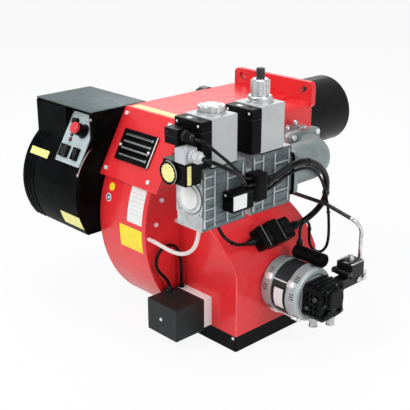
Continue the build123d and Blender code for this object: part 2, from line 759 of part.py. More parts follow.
# Second valve body, with the joint to the first and the bolts that draw them together
joint_length = valve_pitch - valve_length
with BuildPart() as valve_body_2:
    add(valve_body_1.part.moved(Location((0, valve_pitch, 0))))
    with BuildSketch(Plane.XZ.offset(-train_back_y)):
        with Locations((train_x, train_z)):
            RectangleRounded(valve_width - 6, valve_width - 6, 8)
            Circle(valve_bore, mode=Mode.SUBTRACT)
    extrude(amount=-joint_length)
    with BuildSketch(Plane.XZ.offset(-train_back_y)):
        with Locations((train_x, train_z)):
            with GridLocations(2 * train_bolt_x, 2 * train_bolt_x, 2, 2):
                Circle(bolt_radius - step)
    extrude(amount=end_flange - 1)
    with BuildSketch(Plane.XZ.offset(-train_back_y - joint_length)):
        with Locations((train_x, train_z)):
            with GridLocations(2 * train_bolt_x, 2 * train_bolt_x, 2, 2):
                Circle(bolt_radius - step)
    extrude(amount=-(end_flange - 1))
valve_body_2.part.label = "valve_body_2"
export_step(valve_body_2.part, "parts/valve_body_2.step")

# Coil blocks on the valve bodies, one with a finned cap, one with the ring of the adjuster
coil_z = train_z + valve_top
coil_top_z = coil_z + coil_height
coil_front_y = train_front_y + coil_setback
coil_middle_y = coil_front_y + coil_length / 2
stem_radius = 6.0
ring_height = 12.0
with BuildPart() as coil_block_1:
    with BuildSketch(Plane.XY.offset(coil_z)):
        with Locations((train_x, coil_middle_y)):
            RectangleRounded(coil_width, coil_length, 3)
    extrude(amount=coil_height)
    fillet(coil_block_1.edges().group_by(Axis.Z)[-1], 1.5)
    with BuildSketch(Plane.XY.offset(coil_top_z)):
        with Locations((train_x, coil_middle_y)):
            Circle(cap_radius)
            with PolarLocations(cap_radius, 14):
                Circle(2.2, mode=Mode.SUBTRACT)
    extrude(amount=cap_height)
coil_block_1.part.label = "coil_block_1"
export_step(coil_block_1.part, "parts/coil_block_1.step")

with BuildPart() as coil_block_2:
    with BuildSketch(Plane.XY.offset(coil_z)):
        with Locations((train_x, coil_middle_y + valve_pitch)):
            RectangleRounded(coil_width, coil_length, 3)
    extrude(amount=coil_height)
    fillet(coil_block_2.edges().group_by(Axis.Z)[-1], 1.5)
    with BuildSketch(Plane.XY.offset(coil_top_z)):
        with Locations((train_x, coil_middle_y + valve_pitch)):
            Circle(cap_radius - 1)
    extrude(amount=ring_height)
    fillet(coil_block_2.edges().group_by(Axis.Z)[-1], 3)
    with BuildSketch(Plane.XY.offset(coil_top_z + ring_height)):
        with Locations((train_x, coil_middle_y + valve_pitch)):
            Circle(stem_radius + running_gap)
    extrude(amount=-ring_height - 4, mode=Mode.SUBTRACT)
coil_block_2.part.label = "coil_block_2"
export_step(coil_block_2.part, "parts/coil_block_2.step")

# Flow adjuster, a knurled knob with a stem in the ring
with BuildPart() as flow_adjuster:
    with BuildSketch(Plane.XY.offset(coil_top_z)):
        with Locations((train_x, coil_middle_y + valve_pitch)):
            Circle(stem_radius)
    extrude(amount=ring_height + 1)
    with BuildSketch(Plane.XY.offset(coil_top_z + ring_height + fit)):
        with Locations((train_x, coil_middle_y + valve_pitch)):
            Circle(knob_radius)
    extrude(amount=knob_height)
    chamfer(flow_adjuster.edges().group_by(Axis.Z)[-1], 2)
    with BuildSketch(Plane.XY.offset(coil_top_z + ring_height + fit + knob_height)):
        with Locations((train_x, coil_middle_y + valve_pitch)):
            Circle(8)
    extrude(amount=20)
    chamfer(flow_adjuster.edges().group_by(Axis.Z)[-1], 1.5)
flow_adjuster.part.label = "flow_adjuster"
export_step(flow_adjuster.part, "parts/flow_adjuster.step")

# Terminal covers, two alike black boxes on the fronts of the coil blocks
with BuildPart() as terminal_covers:
    for valve in range(2):
        with Locations((train_x, coil_front_y + valve * valve_pitch, coil_top_z - 2)):
            Box(coil_width, terminal_depth, terminal_height, align=(Align.CENTER, Align.MAX, Align.MAX))
    for cover in terminal_covers.solids():
        fillet(cover.edges().filter_by(Axis.Z).group_by(Axis.Y)[0], 3)
    chamfer(terminal_covers.edges().group_by(Axis.Z)[-1], 1)
terminal_covers.part.label = "terminal_covers"
export_step(terminal_covers.part, "parts/terminal_covers.step")

# Transit plug that closes the gas inlet
with BuildPart() as inlet_plug:
    with BuildSketch(Plane.XZ.offset(-train_front_y)):
        with Locations((train_x, train_z)):
            Circle(port_radius - 3)
    extrude(amount=4)
    fillet(inlet_plug.edges().group_by(Axis.Y)[0], 1.5)
    with BuildSketch(Plane.XZ.offset(-train_front_y)):
        with Locations((train_x, train_z)):
            Circle(valve_bore - fit)
    extrude(amount=-8)
inlet_plug.part.label = "inlet_plug"
export_step(inlet_plug.part, "parts/inlet_plug.step")

# Gas pressure switch in front of the first valve, with its setting dial and its plug
psw_right_x = 235.0
psw_width = 61.0
psw_front_y = -483.0
psw_back_y = coil_front_y - terminal_depth - fit
psw_bottom_z = 14.0
psw_top_z = 54.0
dial_x = 196.0
dial_z = 33.0
dial_radius = 17.0
dial_depth = 6.0
dial_shaft = 4.0
din_size = 28.0
gland_radius = 9.0
with BuildPart() as pressure_switch:
    with Locations((psw_right_x, psw_front_y, psw_bottom_z)):
        Box(psw_width, psw_back_y - psw_front_y, psw_top_z - psw_bottom_z,
            align=(Align.MAX, Align.MIN, Align.MIN))
    fillet(pressure_switch.edges().filter_by(Axis.Z), 3)
    with BuildSketch(Plane.XZ.offset(-psw_front_y)):
        with Locations((dial_x, dial_z)):
            Circle(dial_radius + 4)
            Circle(dial_radius + 1, mode=Mode.SUBTRACT)
    extrude(amount=dial_depth + 1)
    with BuildSketch(Plane.XZ.offset(-psw_back_y)):
        with Locations((train_x, psw_bottom_z + 10)):
            Circle(9)
    extrude(amount=-(train_front_y - psw_back_y))
    with BuildSketch(Plane.XZ.offset(-psw_front_y)):
        with Locations((dial_x, dial_z)):
            Circle(dial_shaft + running_gap)
    extrude(amount=-14, mode=Mode.SUBTRACT)
pressure_switch.part.label = "pressure_switch"
export_step(pressure_switch.part, "parts/pressure_switch.step")

with BuildPart() as pressure_dial:
    with BuildSketch(Plane.XZ.offset(-psw_front_y + fit)):
        with Locations((dial_x, dial_z)):
            Circle(dial_radius)
            with PolarLocations(dial_radius, 16):
                Rectangle(2.4, 2, mode=Mode.SUBTRACT)
    extrude(amount=dial_depth)
    with BuildSketch(Plane.XZ.offset(-psw_front_y + 1)):
        with Locations((dial_x, dial_z)):
            Circle(dial_shaft)
    extrude(amount=-13)
pressure_dial.part.label = "pressure_dial"
export_step(pressure_dial.part, "parts/pressure_dial.step")

plug_x = psw_right_x - 1 - din_size / 2
with BuildPart() as switch_plug:
    with Locations((plug_x, psw_front_y + din_size / 2, psw_top_z)):
        Box(din_size - 2, din_size, din_size - 3, align=(Align.CENTER, Align.CENTER, Align.MIN))
    with BuildSketch(Plane.YZ.offset(plug_x + din_size / 2 - 1)):
        with Locations((psw_front_y + din_size / 2, psw_top_z + din_size / 2)):
            Circle(gland_radius)
    extrude(amount=14)
    with BuildSketch(Plane.YZ.offset(plug_x + din_size / 2 + 13)):
        with Locations((psw_front_y + din_size / 2, psw_top_z + din_size / 2)):
            RegularPolygon(gland_radius + 2, 6)
    extrude(amount=9)
switch_plug.part.label = "switch_plug"
export_step(switch_plug.part, "parts/switch_plug.step")

# Plug of the coil lead, on the front of the first terminal cover
coil_plug_x = train_x + 5
coil_plug_z = coil_z + 59
coil_plug_length = 33.0
terminal_front_y = coil_front_y - terminal_depth
with BuildPart() as coil_plug:
    with Locations((coil_plug_x, terminal_front_y, coil_plug_z)):
        Box(coil_plug_length, din_size, din_size, align=(Align.MAX, Align.MAX, Align.CENTER))
    with BuildSketch(Plane.YZ.offset(coil_plug_x)):
        with Locations((terminal_front_y - din_size / 2, coil_plug_z + 2)):
            Circle(gland_radius)
    extrude(amount=22)
coil_plug.part.label = "coil_plug"
export_step(coil_plug.part, "parts/coil_plug.step")

# Leak tester, a small box on the side of the first valve
tester_depth = 24.0
tester_length = 55.0
tester_height = 36.0
tester_y = train_back_y - 33
tester_z = train_z - 10
valve_side_x = train_x + valve_width / 2
with BuildPart() as leak_tester:
    with Locations((valve_side_x, tester_y, tester_z)):
        Box(tester_depth, tester_length, tester_height, align=(Align.MIN, Align.CENTER, Align.CENTER))
    fillet(leak_tester.edges().filter_by(Axis.X), 2)
leak_tester.part.label = "leak_tester"
export_step(leak_tester.part, "parts/leak_tester.step")

# Gas elbow from the second valve to the throttle, swept as one bent pipe between flanges
train_end_y = train_front_y + valve_pitch + valve_length
throttle_left_x = duct_right_x
throttle_right_x = throttle_left_x + throttle_length
elbow_flange = 84.0
throttle_flange = 92.0
throttle_flange_thickness = 8.0
with BuildPart() as gas_elbow:
    with BuildLine() as elbow_path:
        run = Line((train_x, train_end_y, train_z), (train_x, elbow_y - elbow_bend, train_z))
        bend = RadiusArc(run @ 1, (train_x - elbow_bend, elbow_y, train_z), -elbow_bend)
        Line(bend @ 1, (throttle_right_x, elbow_y, train_z))
    with BuildSketch(Plane.XZ.offset(-train_end_y)):
        with Locations((train_x, train_z)):
            Circle(elbow_radius)
    sweep(path=elbow_path.wires()[0])
    with BuildSketch(Plane.XZ.offset(-train_end_y)):
        with Locations((train_x, train_z)):
            RectangleRounded(elbow_flange, elbow_flange, 8)
    extrude(amount=-end_flange)
    with BuildSketch(Plane.YZ.offset(throttle_right_x)):
        with Locations((elbow_y, train_z)):
            RectangleRounded(throttle_flange, throttle_flange, 10)
    extrude(amount=throttle_flange_thickness)
    with BuildSketch(Plane.XZ.offset(-train_end_y)):
        with Locations((train_x, train_z)):
            Circle(gas_bore)
    sweep(path=elbow_path.wires()[0], mode=Mode.SUBTRACT)
gas_elbow.part.label = "gas_elbow"
export_step(gas_elbow.part, "parts/gas_elbow.step")

# Throttle housing between the elbow and the duct, with a test nipple on the barrel
shaft_reach = elbow_radius + 8
throttle_x = throttle_left_x + throttle_length / 2
with BuildPart() as throttle_housing:
    with BuildSketch(Plane.YZ.offset(throttle_left_x)):
        with Locations((elbow_y, train_z)):
            Circle(elbow_radius)
    extrude(amount=throttle_length)
    for flange_x in (throttle_left_x, throttle_right_x - throttle_flange_thickness):
        with BuildSketch(Plane.YZ.offset(flange_x)):
            with Locations((elbow_y, train_z)):
                RectangleRounded(throttle_flange, throttle_flange, 10)
        extrude(amount=throttle_flange_thickness)
    with BuildSketch(Plane.XY.offset(train_z)):
        with Locations((throttle_x, elbow_y)):
            Circle(9)
    extrude(amount=shaft_reach, both=True)
    with BuildSketch(Plane.XY.offset(train_z + 28)):
        with Locations((throttle_x, elbow_y - 24)):
            RegularPolygon(6, 6)
    extrude(amount=16)
    with BuildSketch(Plane.XY.offset(train_z + 44)):
        with Locations((throttle_x, elbow_y - 24)):
            Circle(3)
    extrude(amount=12)
    with BuildSketch(Plane.YZ.offset(throttle_left_x)):
        with Locations((elbow_y, train_z)):
            Circle(gas_bore)
    extrude(amount=throttle_length, mode=Mode.SUBTRACT)
    with BuildSketch(Plane.XY.offset(train_z)):
        with Locations((throttle_x, elbow_y)):
            Circle(throttle_shaft + running_gap)
    extrude(amount=shaft_reach, both=True, mode=Mode.SUBTRACT)
throttle_housing.part.label = "throttle_housing"
export_step(throttle_housing.part, "parts/throttle_housing.step")

# Gas throttle, a disc across the bore on an upright shaft with a crank on top
crank_length = 36.0
crank_width = 14.0
with BuildPart() as gas_throttle:
    with BuildSketch(Plane.YZ.offset(throttle_x - 1)):
        with Locations((elbow_y, train_z)):
            Circle(gas_bore - fit)
    extrude(amount=2)
    with BuildSketch(Plane.XY.offset(train_z - shaft_reach)):
        with Locations((throttle_x, elbow_y)):
            Circle(throttle_shaft)
    extrude(amount=2 * shaft_reach + 10)
    with BuildSketch(Plane.XY.offset(train_z + shaft_reach + 4)):
        with Locations((throttle_x + crank_length / 2 - crank_width / 2 - 1, elbow_y)):
            SlotOverall(crank_length, crank_width)
    extrude(amount=4)
gas_throttle.part.label = "gas_throttle"
export_step(gas_throttle.part, "parts/gas_throttle.step")

# Gas manifold in the duct: a sleeve on the firing axis fed by a branch seated on the duct wall
sleeve_radius = 30.0
sleeve_bore = 26.0
sleeve_back_y = -108.0
sleeve_front_y = 60.0
branch_radius = 26.0
branch_bore = 22.0
lance_radius = 8.0
duct_inner_x = duct_right_x - housing_wall
with BuildPart() as gas_manifold:
    with BuildSketch(Plane.XZ.offset(-sleeve_back_y)):
        Circle(sleeve_radius)
    extrude(amount=-(sleeve_front_y - sleeve_back_y))
    with BuildSketch(Plane.YZ):
        with Locations((elbow_y, train_z)):
            Circle(branch_radius)
    extrude(amount=duct_inner_x)
    with BuildSketch(Plane.YZ.offset(duct_inner_x)):
        with Locations((elbow_y, train_z)):
            Circle(gas_bore + 10)
    extrude(amount=-4)
    with BuildSketch(Plane.YZ):
        with Locations((elbow_y, train_z)):
            Circle(branch_bore)
    extrude(amount=duct_inner_x, mode=Mode.SUBTRACT)
    with BuildSketch(Plane.XZ.offset(-sleeve_back_y - 6)):
        Circle(sleeve_bore)
    extrude(amount=-(sleeve_front_y - sleeve_back_y - 6), mode=Mode.SUBTRACT)
    with BuildSketch(Plane.XZ.offset(-sleeve_back_y)):
        Circle(lance_radius + running_gap)
    extrude(amount=-6, mode=Mode.SUBTRACT)
gas_manifold.part.label = "gas_manifold"
export_step(gas_manifold.part, "parts/gas_manifold.step")

# Nozzle lance, which slides in the back of the sleeve and carries the oil nozzle
lance_back_y = -130.0
holder_y = 96.0
holder_radius = 12.0
with BuildPart() as nozzle_lance:
    with BuildSketch(Plane.XZ.offset(-lance_back_y)):
        Circle(lance_radius)
    extrude(amount=-(holder_y - lance_back_y))
    with BuildSketch(Plane.XZ.offset(-holder_y)):
        Circle(holder_radius + 4)
    extrude(amount=-4)
    with BuildSketch(Plane.XZ.offset(-holder_y - 4)):
        Circle(holder_radius)
    extrude(amount=-14)
    with BuildSketch(Plane.XZ.offset(-holder_y - 18)):
        Circle(6)
    extrude(amount=-5)
    fillet(nozzle_lance.edges().group_by(Axis.Y)[-1], 3)
    with BuildSketch(Plane.XZ.offset(-lance_back_y)):
        RegularPolygon(11, 6)
    extrude(amount=-10)
nozzle_lance.part.label = "nozzle_lance"
export_step(nozzle_lance.part, "parts/nozzle_lance.step")

# Diffuser, a slotted disc with a rim, clamped on the nozzle holder
disc_radius = 54.0
disc_y = holder_y + 12
electrode_x = 13.0
electrode_z = 24.0
electrode_radius = 4.0
with BuildPart() as diffuser:
    with BuildSketch(Plane.XZ.offset(-disc_y)):
        Circle(disc_radius)
    extrude(amount=-12)
    with BuildSketch(Plane.XZ.offset(-disc_y - 2)):
        Circle(disc_radius - 2)
    extrude(amount=-10, mode=Mode.SUBTRACT)
    with BuildSketch(Plane.XZ.offset(-holder_y - 4)):
        Circle(holder_radius + 5)
    extrude(amount=-(disc_y - holder_y - 4))
    with BuildSketch(Plane.XZ.offset(-holder_y - 4)):
        Circle(holder_radius + running_gap)
        with Locations((-electrode_x, electrode_z), (electrode_x, electrode_z)):
            Circle(electrode_radius + 1)
    extrude(amount=-20, mode=Mode.SUBTRACT)
    with BuildSketch(Plane.XZ.offset(-disc_y)):
        with PolarLocations(37, 10, start_angle=-18):
            with Locations(Location((0, 0), 20)):
                Rectangle(18, 3)
        with Locations((0, electrode_z + 8)):
            Rectangle(46, 24, mode=Mode.SUBTRACT)
    extrude(amount=-2, mode=Mode.SUBTRACT)
diffuser.part.label = "diffuser"
export_step(diffuser.part, "parts/diffuser.step")

# Ignition electrodes, two ceramic rods in a clamp that rests on the shoulder of the holder
with BuildPart() as electrodes:
    with BuildSketch(Plane.XZ.offset(-holder_y)):
        Circle(lance_radius + 6)
        with Locations((0, 16)):
            Rectangle(2 * electrode_x + 10, 24)
        Circle(lance_radius + running_gap, mode=Mode.SUBTRACT)
    extrude(amount=8)
    with BuildSketch(Plane.XZ.offset(-holder_y + 28)):
        with Locations((-electrode_x, electrode_z), (electrode_x, electrode_z)):
            Circle(electrode_radius)
    extrude(amount=-52)
    with BuildSketch(Plane.XZ.offset(-holder_y - 24)):
        with Locations((-electrode_x, electrode_z), (electrode_x, electrode_z)):
            Circle(1.2)
    extrude(amount=-12)
electrodes.part.label = "electrodes"
export_step(electrodes.part, "parts/electrodes.step")

# Pump motor: two end bells, the stator between them and the rotor inside
bell_wall = 8.0
stator_wall = 14.0
rotor_gap = 0.6
drive_shaft_radius = 10.0
stator_x = base_right_x + bell_length
motor_end_x = stator_x + stator_length + bell_length
drive_reach = 16.0
with BuildPart() as pump_motor_bells:
    with BuildSketch(Plane.YZ.offset(base_right_x)):
        with Locations((motor_y, motor_z)):
            Circle(motor_radius)
    extrude(amount=bell_length)
    with BuildSketch(Plane.YZ.offset(stator_x + stator_length)):
        with Locations((motor_y, motor_z)):
            Circle(motor_radius)
    extrude(amount=bell_length)
    fillet(pump_motor_bells.edges().group_by(Axis.X)[-1], 7)
    fillet(pump_motor_bells.edges().group_by(Axis.X)[0], 4)
    with BuildSketch(Plane.YZ.offset(base_right_x + bell_wall)):
        with Locations((motor_y, motor_z)):
            Circle(motor_radius - bell_wall)
    extrude(amount=motor_end_x - base_right_x - 2 * bell_wall, mode=Mode.SUBTRACT)
    with BuildSketch(Plane.YZ.offset(base_right_x)):
        with Locations((motor_y, motor_z)):
            Circle(drive_shaft_radius + running_gap)
    extrude(amount=motor_end_x - base_right_x, mode=Mode.SUBTRACT)
    with BuildSketch(Plane.YZ.offset(motor_end_x)):
        with Locations((motor_y, motor_z)):
            Circle(motor_radius - 12)
            Circle(motor_radius - 17, mode=Mode.SUBTRACT)
    extrude(amount=-3, mode=Mode.SUBTRACT)
pump_motor_bells.part.label = "pump_motor_bells"
export_step(pump_motor_bells.part, "parts/pump_motor_bells.step")

with BuildPart() as pump_stator:
    with BuildSketch(Plane.YZ.offset(stator_x)):
        with Locations((motor_y, motor_z)):
            Circle(motor_radius - 2)
            Circle(motor_radius - 2 - stator_wall, mode=Mode.SUBTRACT)
    extrude(amount=stator_length)
pump_stator.part.label = "pump_stator"
export_step(pump_stator.part, "parts/pump_stator.step")

with BuildPart() as pump_rotor:
    with BuildSketch(Plane.YZ.offset(stator_x)):
        with Locations((motor_y, motor_z)):
            Circle(motor_radius - 2 - stator_wall - rotor_gap)
    extrude(amount=stator_length)
    with BuildSketch(Plane.YZ.offset(base_right_x + 1)):
        with Locations((motor_y, motor_z)):
            Circle(drive_shaft_radius)
    extrude(amount=motor_end_x - base_right_x + drive_reach - 1)
pump_rotor.part.label = "pump_rotor"
export_step(pump_rotor.part, "parts/pump_rotor.step")

# Oil pump, a ribbed block with a round cover, bored for the shaft
pump_end_x = motor_end_x + pump_length
cover_rise = 10.0
with BuildPart() as oil_pump:
    with BuildSketch(Plane.YZ.offset(motor_end_x)):
        with Locations((motor_y, motor_z)):
            RectangleRounded(2 * pump_radius, 2 * pump_radius, 14)
    extrude(amount=pump_length)
    chamfer(oil_pump.edges().group_by(Axis.X)[-1], 2)
    with BuildSketch(Plane.YZ.offset(pump_end_x)):
        with Locations((motor_y, motor_z + cover_rise)):
            Circle(22)
    extrude(amount=12)
    chamfer(oil_pump.edges().group_by(Axis.X)[-1], 3)
    with BuildSketch(Plane.YZ.offset(pump_end_x)):
        with Locations((motor_y, motor_z)):
            with GridLocations(48, 48, 2, 2):
                RegularPolygon(5, 6)
    extrude(amount=5)
    for slot in range(3):
        with BuildSketch(Plane.YZ.offset(motor_end_x + 10 + 11 * slot)):
            with Locations((motor_y, motor_z)):
                Rectangle(2 * pump_radius + 2, 2 * pump_radius - 26)
                Rectangle(2 * pump_radius - 8, 2 * pump_radius, mode=Mode.SUBTRACT)
        extrude(amount=4, mode=Mode.SUBTRACT)
    with BuildSketch(Plane.YZ.offset(motor_end_x)):
        with Locations((motor_y, motor_z)):
            Circle(drive_shaft_radius + running_gap)
    extrude(amount=drive_reach + 2, mode=Mode.SUBTRACT)
oil_pump.part.label = "oil_pump"
export_step(oil_pump.part, "parts/oil_pump.step")

# Pump fittings for the feed and return hoses, bored, below the pump
fitting_bore = 5.0
port_places = [(motor_end_x + 14, motor_y - 16), (motor_end_x + 32, motor_y + 14)]
with BuildPart() as pump_fittings:
    with BuildSketch(Plane.XY.offset(motor_z - pump_radius)):
        with Locations(*port_places):
            RegularPolygon(10, 6)
    extrude(amount=-12)
    with BuildSketch(Plane.XY.offset(motor_z - pump_radius - 12)):
        with Locations(*port_places):
            Circle(8)
    extrude(amount=-10)
    with BuildSketch(Plane.XY.offset(motor_z - pump_radius)):
        with Locations(*port_places):
            Circle(fitting_bore)
    extrude(amount=-22, mode=Mode.SUBTRACT)
pump_fittings.part.label = "pump_fittings"
export_step(pump_fittings.part, "parts/pump_fittings.step")

# Motor capacitor, a round can lying along the motor in a saddle, with the gland of its lead
can_gap = 22.0
can_length = 74.0
can_gland_x = base_right_x + 30
can_gland_top_z = -182.5
can_radius = 14.0
can_y = -168.0
can_z = motor_z + sqrt((motor_radius + can_radius + fit) ** 2 - (can_y - motor_y) ** 2)
with BuildPart() as capacitor:
    with BuildSketch(Plane.YZ.offset(base_right_x + can_gap)):
        with Locations((can_y, can_z)):
            Circle(can_radius)
    extrude(amount=can_length)
    chamfer(capacitor.edges().group_by(Axis.X)[-1], 2)
    with BuildSketch(Plane.XY.offset(can_z)):
        with Locations((can_gland_x, can_y)):
            Circle(6)
    extrude(amount=can_gland_top_z - can_z)
capacitor.part.label = "capacitor"
export_step(capacitor.part, "parts/capacitor.step")

# Solenoid valve on the pump: a bar seated on the pump, a coil on the bar and a nut on top
bar_back_y = motor_y + pump_radius
bar_x = 318.0
bar_width = 24.0
bar_top_z = -236.0
bar_height = 20.0
bar_end_y = -76.0
coil_size = 40.0
oil_coil_y = -116.0
outlet_y = -86.0
with BuildPart() as solenoid_valve:
    with Locations((bar_x, bar_back_y, bar_top_z)):
        Box(bar_width, bar_end_y - bar_back_y, bar_height, align=(Align.CENTER, Align.MIN, Align.MAX))
    with Locations((bar_x, oil_coil_y, bar_top_z)):
        Box(coil_size, coil_size, 30, align=(Align.CENTER, Align.CENTER, Align.MIN))
    fillet(solenoid_valve.edges().filter_by(Axis.Z).group_by(SortBy.LENGTH)[-1], 3)
    with BuildSketch(Plane.XY.offset(bar_top_z + 30)):
        with Locations((bar_x, oil_coil_y)):
            RegularPolygon(8, 6)
    extrude(amount=8)
    with BuildSketch(Plane.XY.offset(bar_top_z)):
        with Locations((bar_x, outlet_y)):
            RegularPolygon(8, 6)
    extrude(amount=8)
solenoid_valve.part.label = "solenoid_valve"
export_step(solenoid_valve.part, "parts/solenoid_valve.step")

# Oil pipe from the solenoid valve over to the side of the fan housing, with a nut at its end
oil_pipe_points = [(bar_x, outlet_y, bar_top_z + 8), (bar_x, outlet_y, -146),
                   (bar_x - 7, -102, -127), (246, -112, -107), (base_left_x + 12, -113, -103)]
oil_pipe_radii = [30.0, 12.0, 30.0]
with BuildPart() as oil_pipe:
    with BuildLine() as pipe_path:
        FilletPolyline(*oil_pipe_points, radius=oil_pipe_radii)
    with BuildSketch(Plane(origin=oil_pipe_points[0], z_dir=pipe_path.wires()[0] % 0)):
        Circle(oil_pipe_radius)
    sweep(path=pipe_path.wires()[0])
    with BuildSketch(Plane.YZ.offset(base_left_x)):
        with Locations((oil_pipe_points[-1][1], oil_pipe_points[-1][2])):
            RegularPolygon(8, 6)
    extrude(amount=16)
oil_pipe.part.label = "oil_pipe"
export_step(oil_pipe.part, "parts/oil_pipe.step")

# Ignition transformer: a white mounting block and a black cover, potted solid
trafo_left_x = base_right_x - trafo_right - trafo_width
trafo_bottom_z = floor_z + trafo_lift
with BuildPart() as transformer_base:
    with Locations((trafo_left_x + trafo_width / 2, base_front_y, trafo_bottom_z + trafo_height / 2)):
        Box(trafo_width - 6, trafo_base_depth, trafo_height - 6,
            align=(Align.CENTER, Align.MAX, Align.CENTER))
    fillet(transformer_base.edges().filter_by(Axis.Y), 3)
transformer_base.part.label = "transformer_base"
export_step(transformer_base.part, "parts/transformer_base.step")

trafo_seam_y = base_front_y - trafo_base_depth
with BuildPart() as transformer_cover:
    with Locations((trafo_left_x + trafo_width / 2, trafo_seam_y, trafo_bottom_z + trafo_height / 2)):
        Box(trafo_width, trafo_depth, trafo_height, align=(Align.CENTER, Align.MAX, Align.CENTER))
    fillet(transformer_cover.edges().filter_by(Axis.Y), 3)
    fillet(transformer_cover.edges().group_by(Axis.Y)[0], 2)
transformer_cover.part.label = "transformer_cover"
export_step(transformer_cover.part, "parts/transformer_cover.step")

# Connector pair on the slope of the base roof
connector_length = 92.0
connector_width = 50.0
connector_height = 28.0
connector_y = -193.5
connector_inset = 30.0
nose_radius = 9.0
nose_lengths = {-1: 14.0, 1: 18.0}
roof_angle = degrees(acos((base_right_x - connector_inset - roof_centre_x) / roof_radius))
connector_place = roof_point(roof_angle)
connector_plane = Plane(origin=(connector_place[0], connector_y, connector_place[1]),
                        x_dir=(0, 1, 0),
                        z_dir=(cos(radians(roof_angle)), 0, sin(radians(roof_angle))))
with BuildPart() as connector:
    with BuildSketch(connector_plane):
        RectangleRounded(connector_length, connector_width - 4, 6)
    extrude(amount=connector_height)
    fillet(connector.edges().group_by(Axis(connector_plane.origin, connector_plane.z_dir))[-1], 4)
    with BuildSketch(connector_plane):
        with Locations((-4, 0)):
            RectangleRounded(28, connector_width, 3)
    extrude(amount=connector_height + 2)
    for end, nose_length in nose_lengths.items():
        nose = connector_plane.from_local_coords((end * connector_length / 2, 0, connector_height / 2))
        with BuildSketch(Plane(origin=nose, x_dir=connector_plane.z_dir, z_dir=(0, end, 0))):
            Circle(nose_radius)
        extrude(amount=nose_length)
connector.part.label = "connector"
export_step(connector.part, "parts/connector.step")

# Screws of the scroll wall, the cover, the louvre and the flanges, all of one kind
screw_radius = 4.5
screw_height = 3.5
screw_edge = 18.0
volute_screws = [(152.0, 11.0), (160.6, 31.0), (174.2, 26.0), (174.3, 82.0)]
wall_screws = [along_circle(volute_y, volute_z, volute_radius - inset, angle)
               for angle, inset in volute_screws]
wall_screws.append((plate_front_y - 48, duct_bottom_z - 16))
with BuildPart() as housing_screws:
    with BuildSketch(Plane.YZ.offset(base_left_x)):
        with Locations(*wall_screws):
            Circle(screw_radius)
    extrude(amount=screw_height)
    with BuildSketch(slope_plane):
        with Locations((0, -slope_length / 2)):
            with GridLocations(louvre_width + 30, slope_length - 27, 2, 2):
                Circle(screw_radius)
    extrude(amount=screw_height)
    with BuildSketch(Plane.YZ.offset(throttle_right_x + throttle_flange_thickness)):
        with Locations((elbow_y, train_z)):
            with GridLocations(throttle_flange - screw_edge, throttle_flange - screw_edge, 2, 2):
                RegularPolygon(6, 6)
    extrude(amount=4)
    with BuildSketch(Plane.XZ.offset(-train_end_y - end_flange)):
        with Locations((train_x, train_z)):
            with GridLocations(elbow_flange - screw_edge, elbow_flange - screw_edge, 2, 2):
                RegularPolygon(6, 6)
    extrude(amount=-4)
housing_screws.part.label = "housing_screws"
export_step(housing_screws.part, "parts/housing_screws.step")

# Cable sleeve on the side of the valves, where the leads of the gas train meet the main cable
sleeve_depth = 28.0
sleeve_length = 34.0
sleeve_bottom_z = -42.0
sleeve_top_z = 8.0
sleeve_front = train_back_y - 4
sleeve_nose = 7.0
with BuildPart() as cable_sleeve:
    with Locations((valve_side_x, sleeve_front, sleeve_bottom_z)):
        Box(sleeve_depth, sleeve_length, sleeve_top_z - sleeve_bottom_z,
            align=(Align.MIN, Align.MIN, Align.MIN))
    fillet(cable_sleeve.edges().filter_by(Axis.Z).group_by(Axis.X)[-1], 8)
    fillet(cable_sleeve.edges().group_by(Axis.Z)[-1], 3)
    with BuildSketch(Plane.XZ.offset(-sleeve_front - sleeve_length)):
        with Locations((249, -14)):
            Circle(10)
    extrude(amount=-sleeve_nose)
cable_sleeve.part.label = "cable_sleeve"
export_step(cable_sleeve.part, "parts/cable_sleeve.step")


def bend_radii(points):
    """The radius at each point of a route: 0.45 of the shorter run over the tangent of half the turn."""
    corners = [Vector(*point) for point in points]
    radii = []
    for before, here, after in zip(corners, corners[1:], corners[2:]):
        half_turn = radians((here - before).get_angle(after - here)) / 2
        radii.append(0.45 * min((here - before).length, (after - here).length) / tan(half_turn))
    return radii


# Routes of the cables and the hose, point by point
main_cable_radius = 6.5
main_cable_points = [
    (249, -296, -14), (249, -280, -14), (252, -262, -7), (257, -238, 4.5), (258, -206, 7),
    (255, -168, -5), (249, -132, -28), (240, -107, -55), (229, -92, -83), (217.2, -79, -105.6),
    (205.8, -72.7, -124.1), (196.4, -74.6, -139.3), (188, -82.8, -152.9), (181.7, -96.2, -163.1),
    (178.3, -113, -168.6), (178.3, -129.5, -168.6)]
motor_cable_radius = 3.0
motor_cable_points = [
    (249, -303, -32), (249, -289, -32), (252, -269, -23), (255, -243, -11), (255, -207, -8),
    (252, -171, -17), (246, -138, -40), (238, -113, -67), (235, -101, -92), (241, -99, -117),
    (249, -105, -138), (257, -113, -157), (261, -118, -178), (258, -121, -197), (247, -125, -209),
    (230.5, -127, -208), (220, -128, -195), (219, -128, -174), (220, -129, -155), (221, -140, -143),
    (223, -156, -142), (226, -167, -153), (228, -168, -168), (228, -168, -182.5)]
valve_cable_radius = 3.5
valve_cable_points = [
    (178.3, -253.5, -168.6), (178.3, -269, -168.6), (181, -289, -165), (183, -309, -157),
    (185, -328, -145), (187, -345, -129), (189, -357, -112), (190, -364, -98), (190, -364, -83)]
coil_cable_radius = 3.0
coil_cable_points = [
    (225, -459, 95), (241, -459, 95), (256, -452, 88), (260, -434, 71), (258, -408, 51),
    (255, -382, 29), (253, -364, 11), (252, -351, 2), (252, -337, 2)]
switch_cable_radius = 3.5
switch_cable_points = [
    (256, -469, 68), (274, -469, 68), (288, -460, 63), (294, -439, 50), (289, -410, 34),
    (278, -387, 15), (266, -370, -1), (257, -354, -8), (257, -337, -8)]
ignition_cable_radius = 3.5
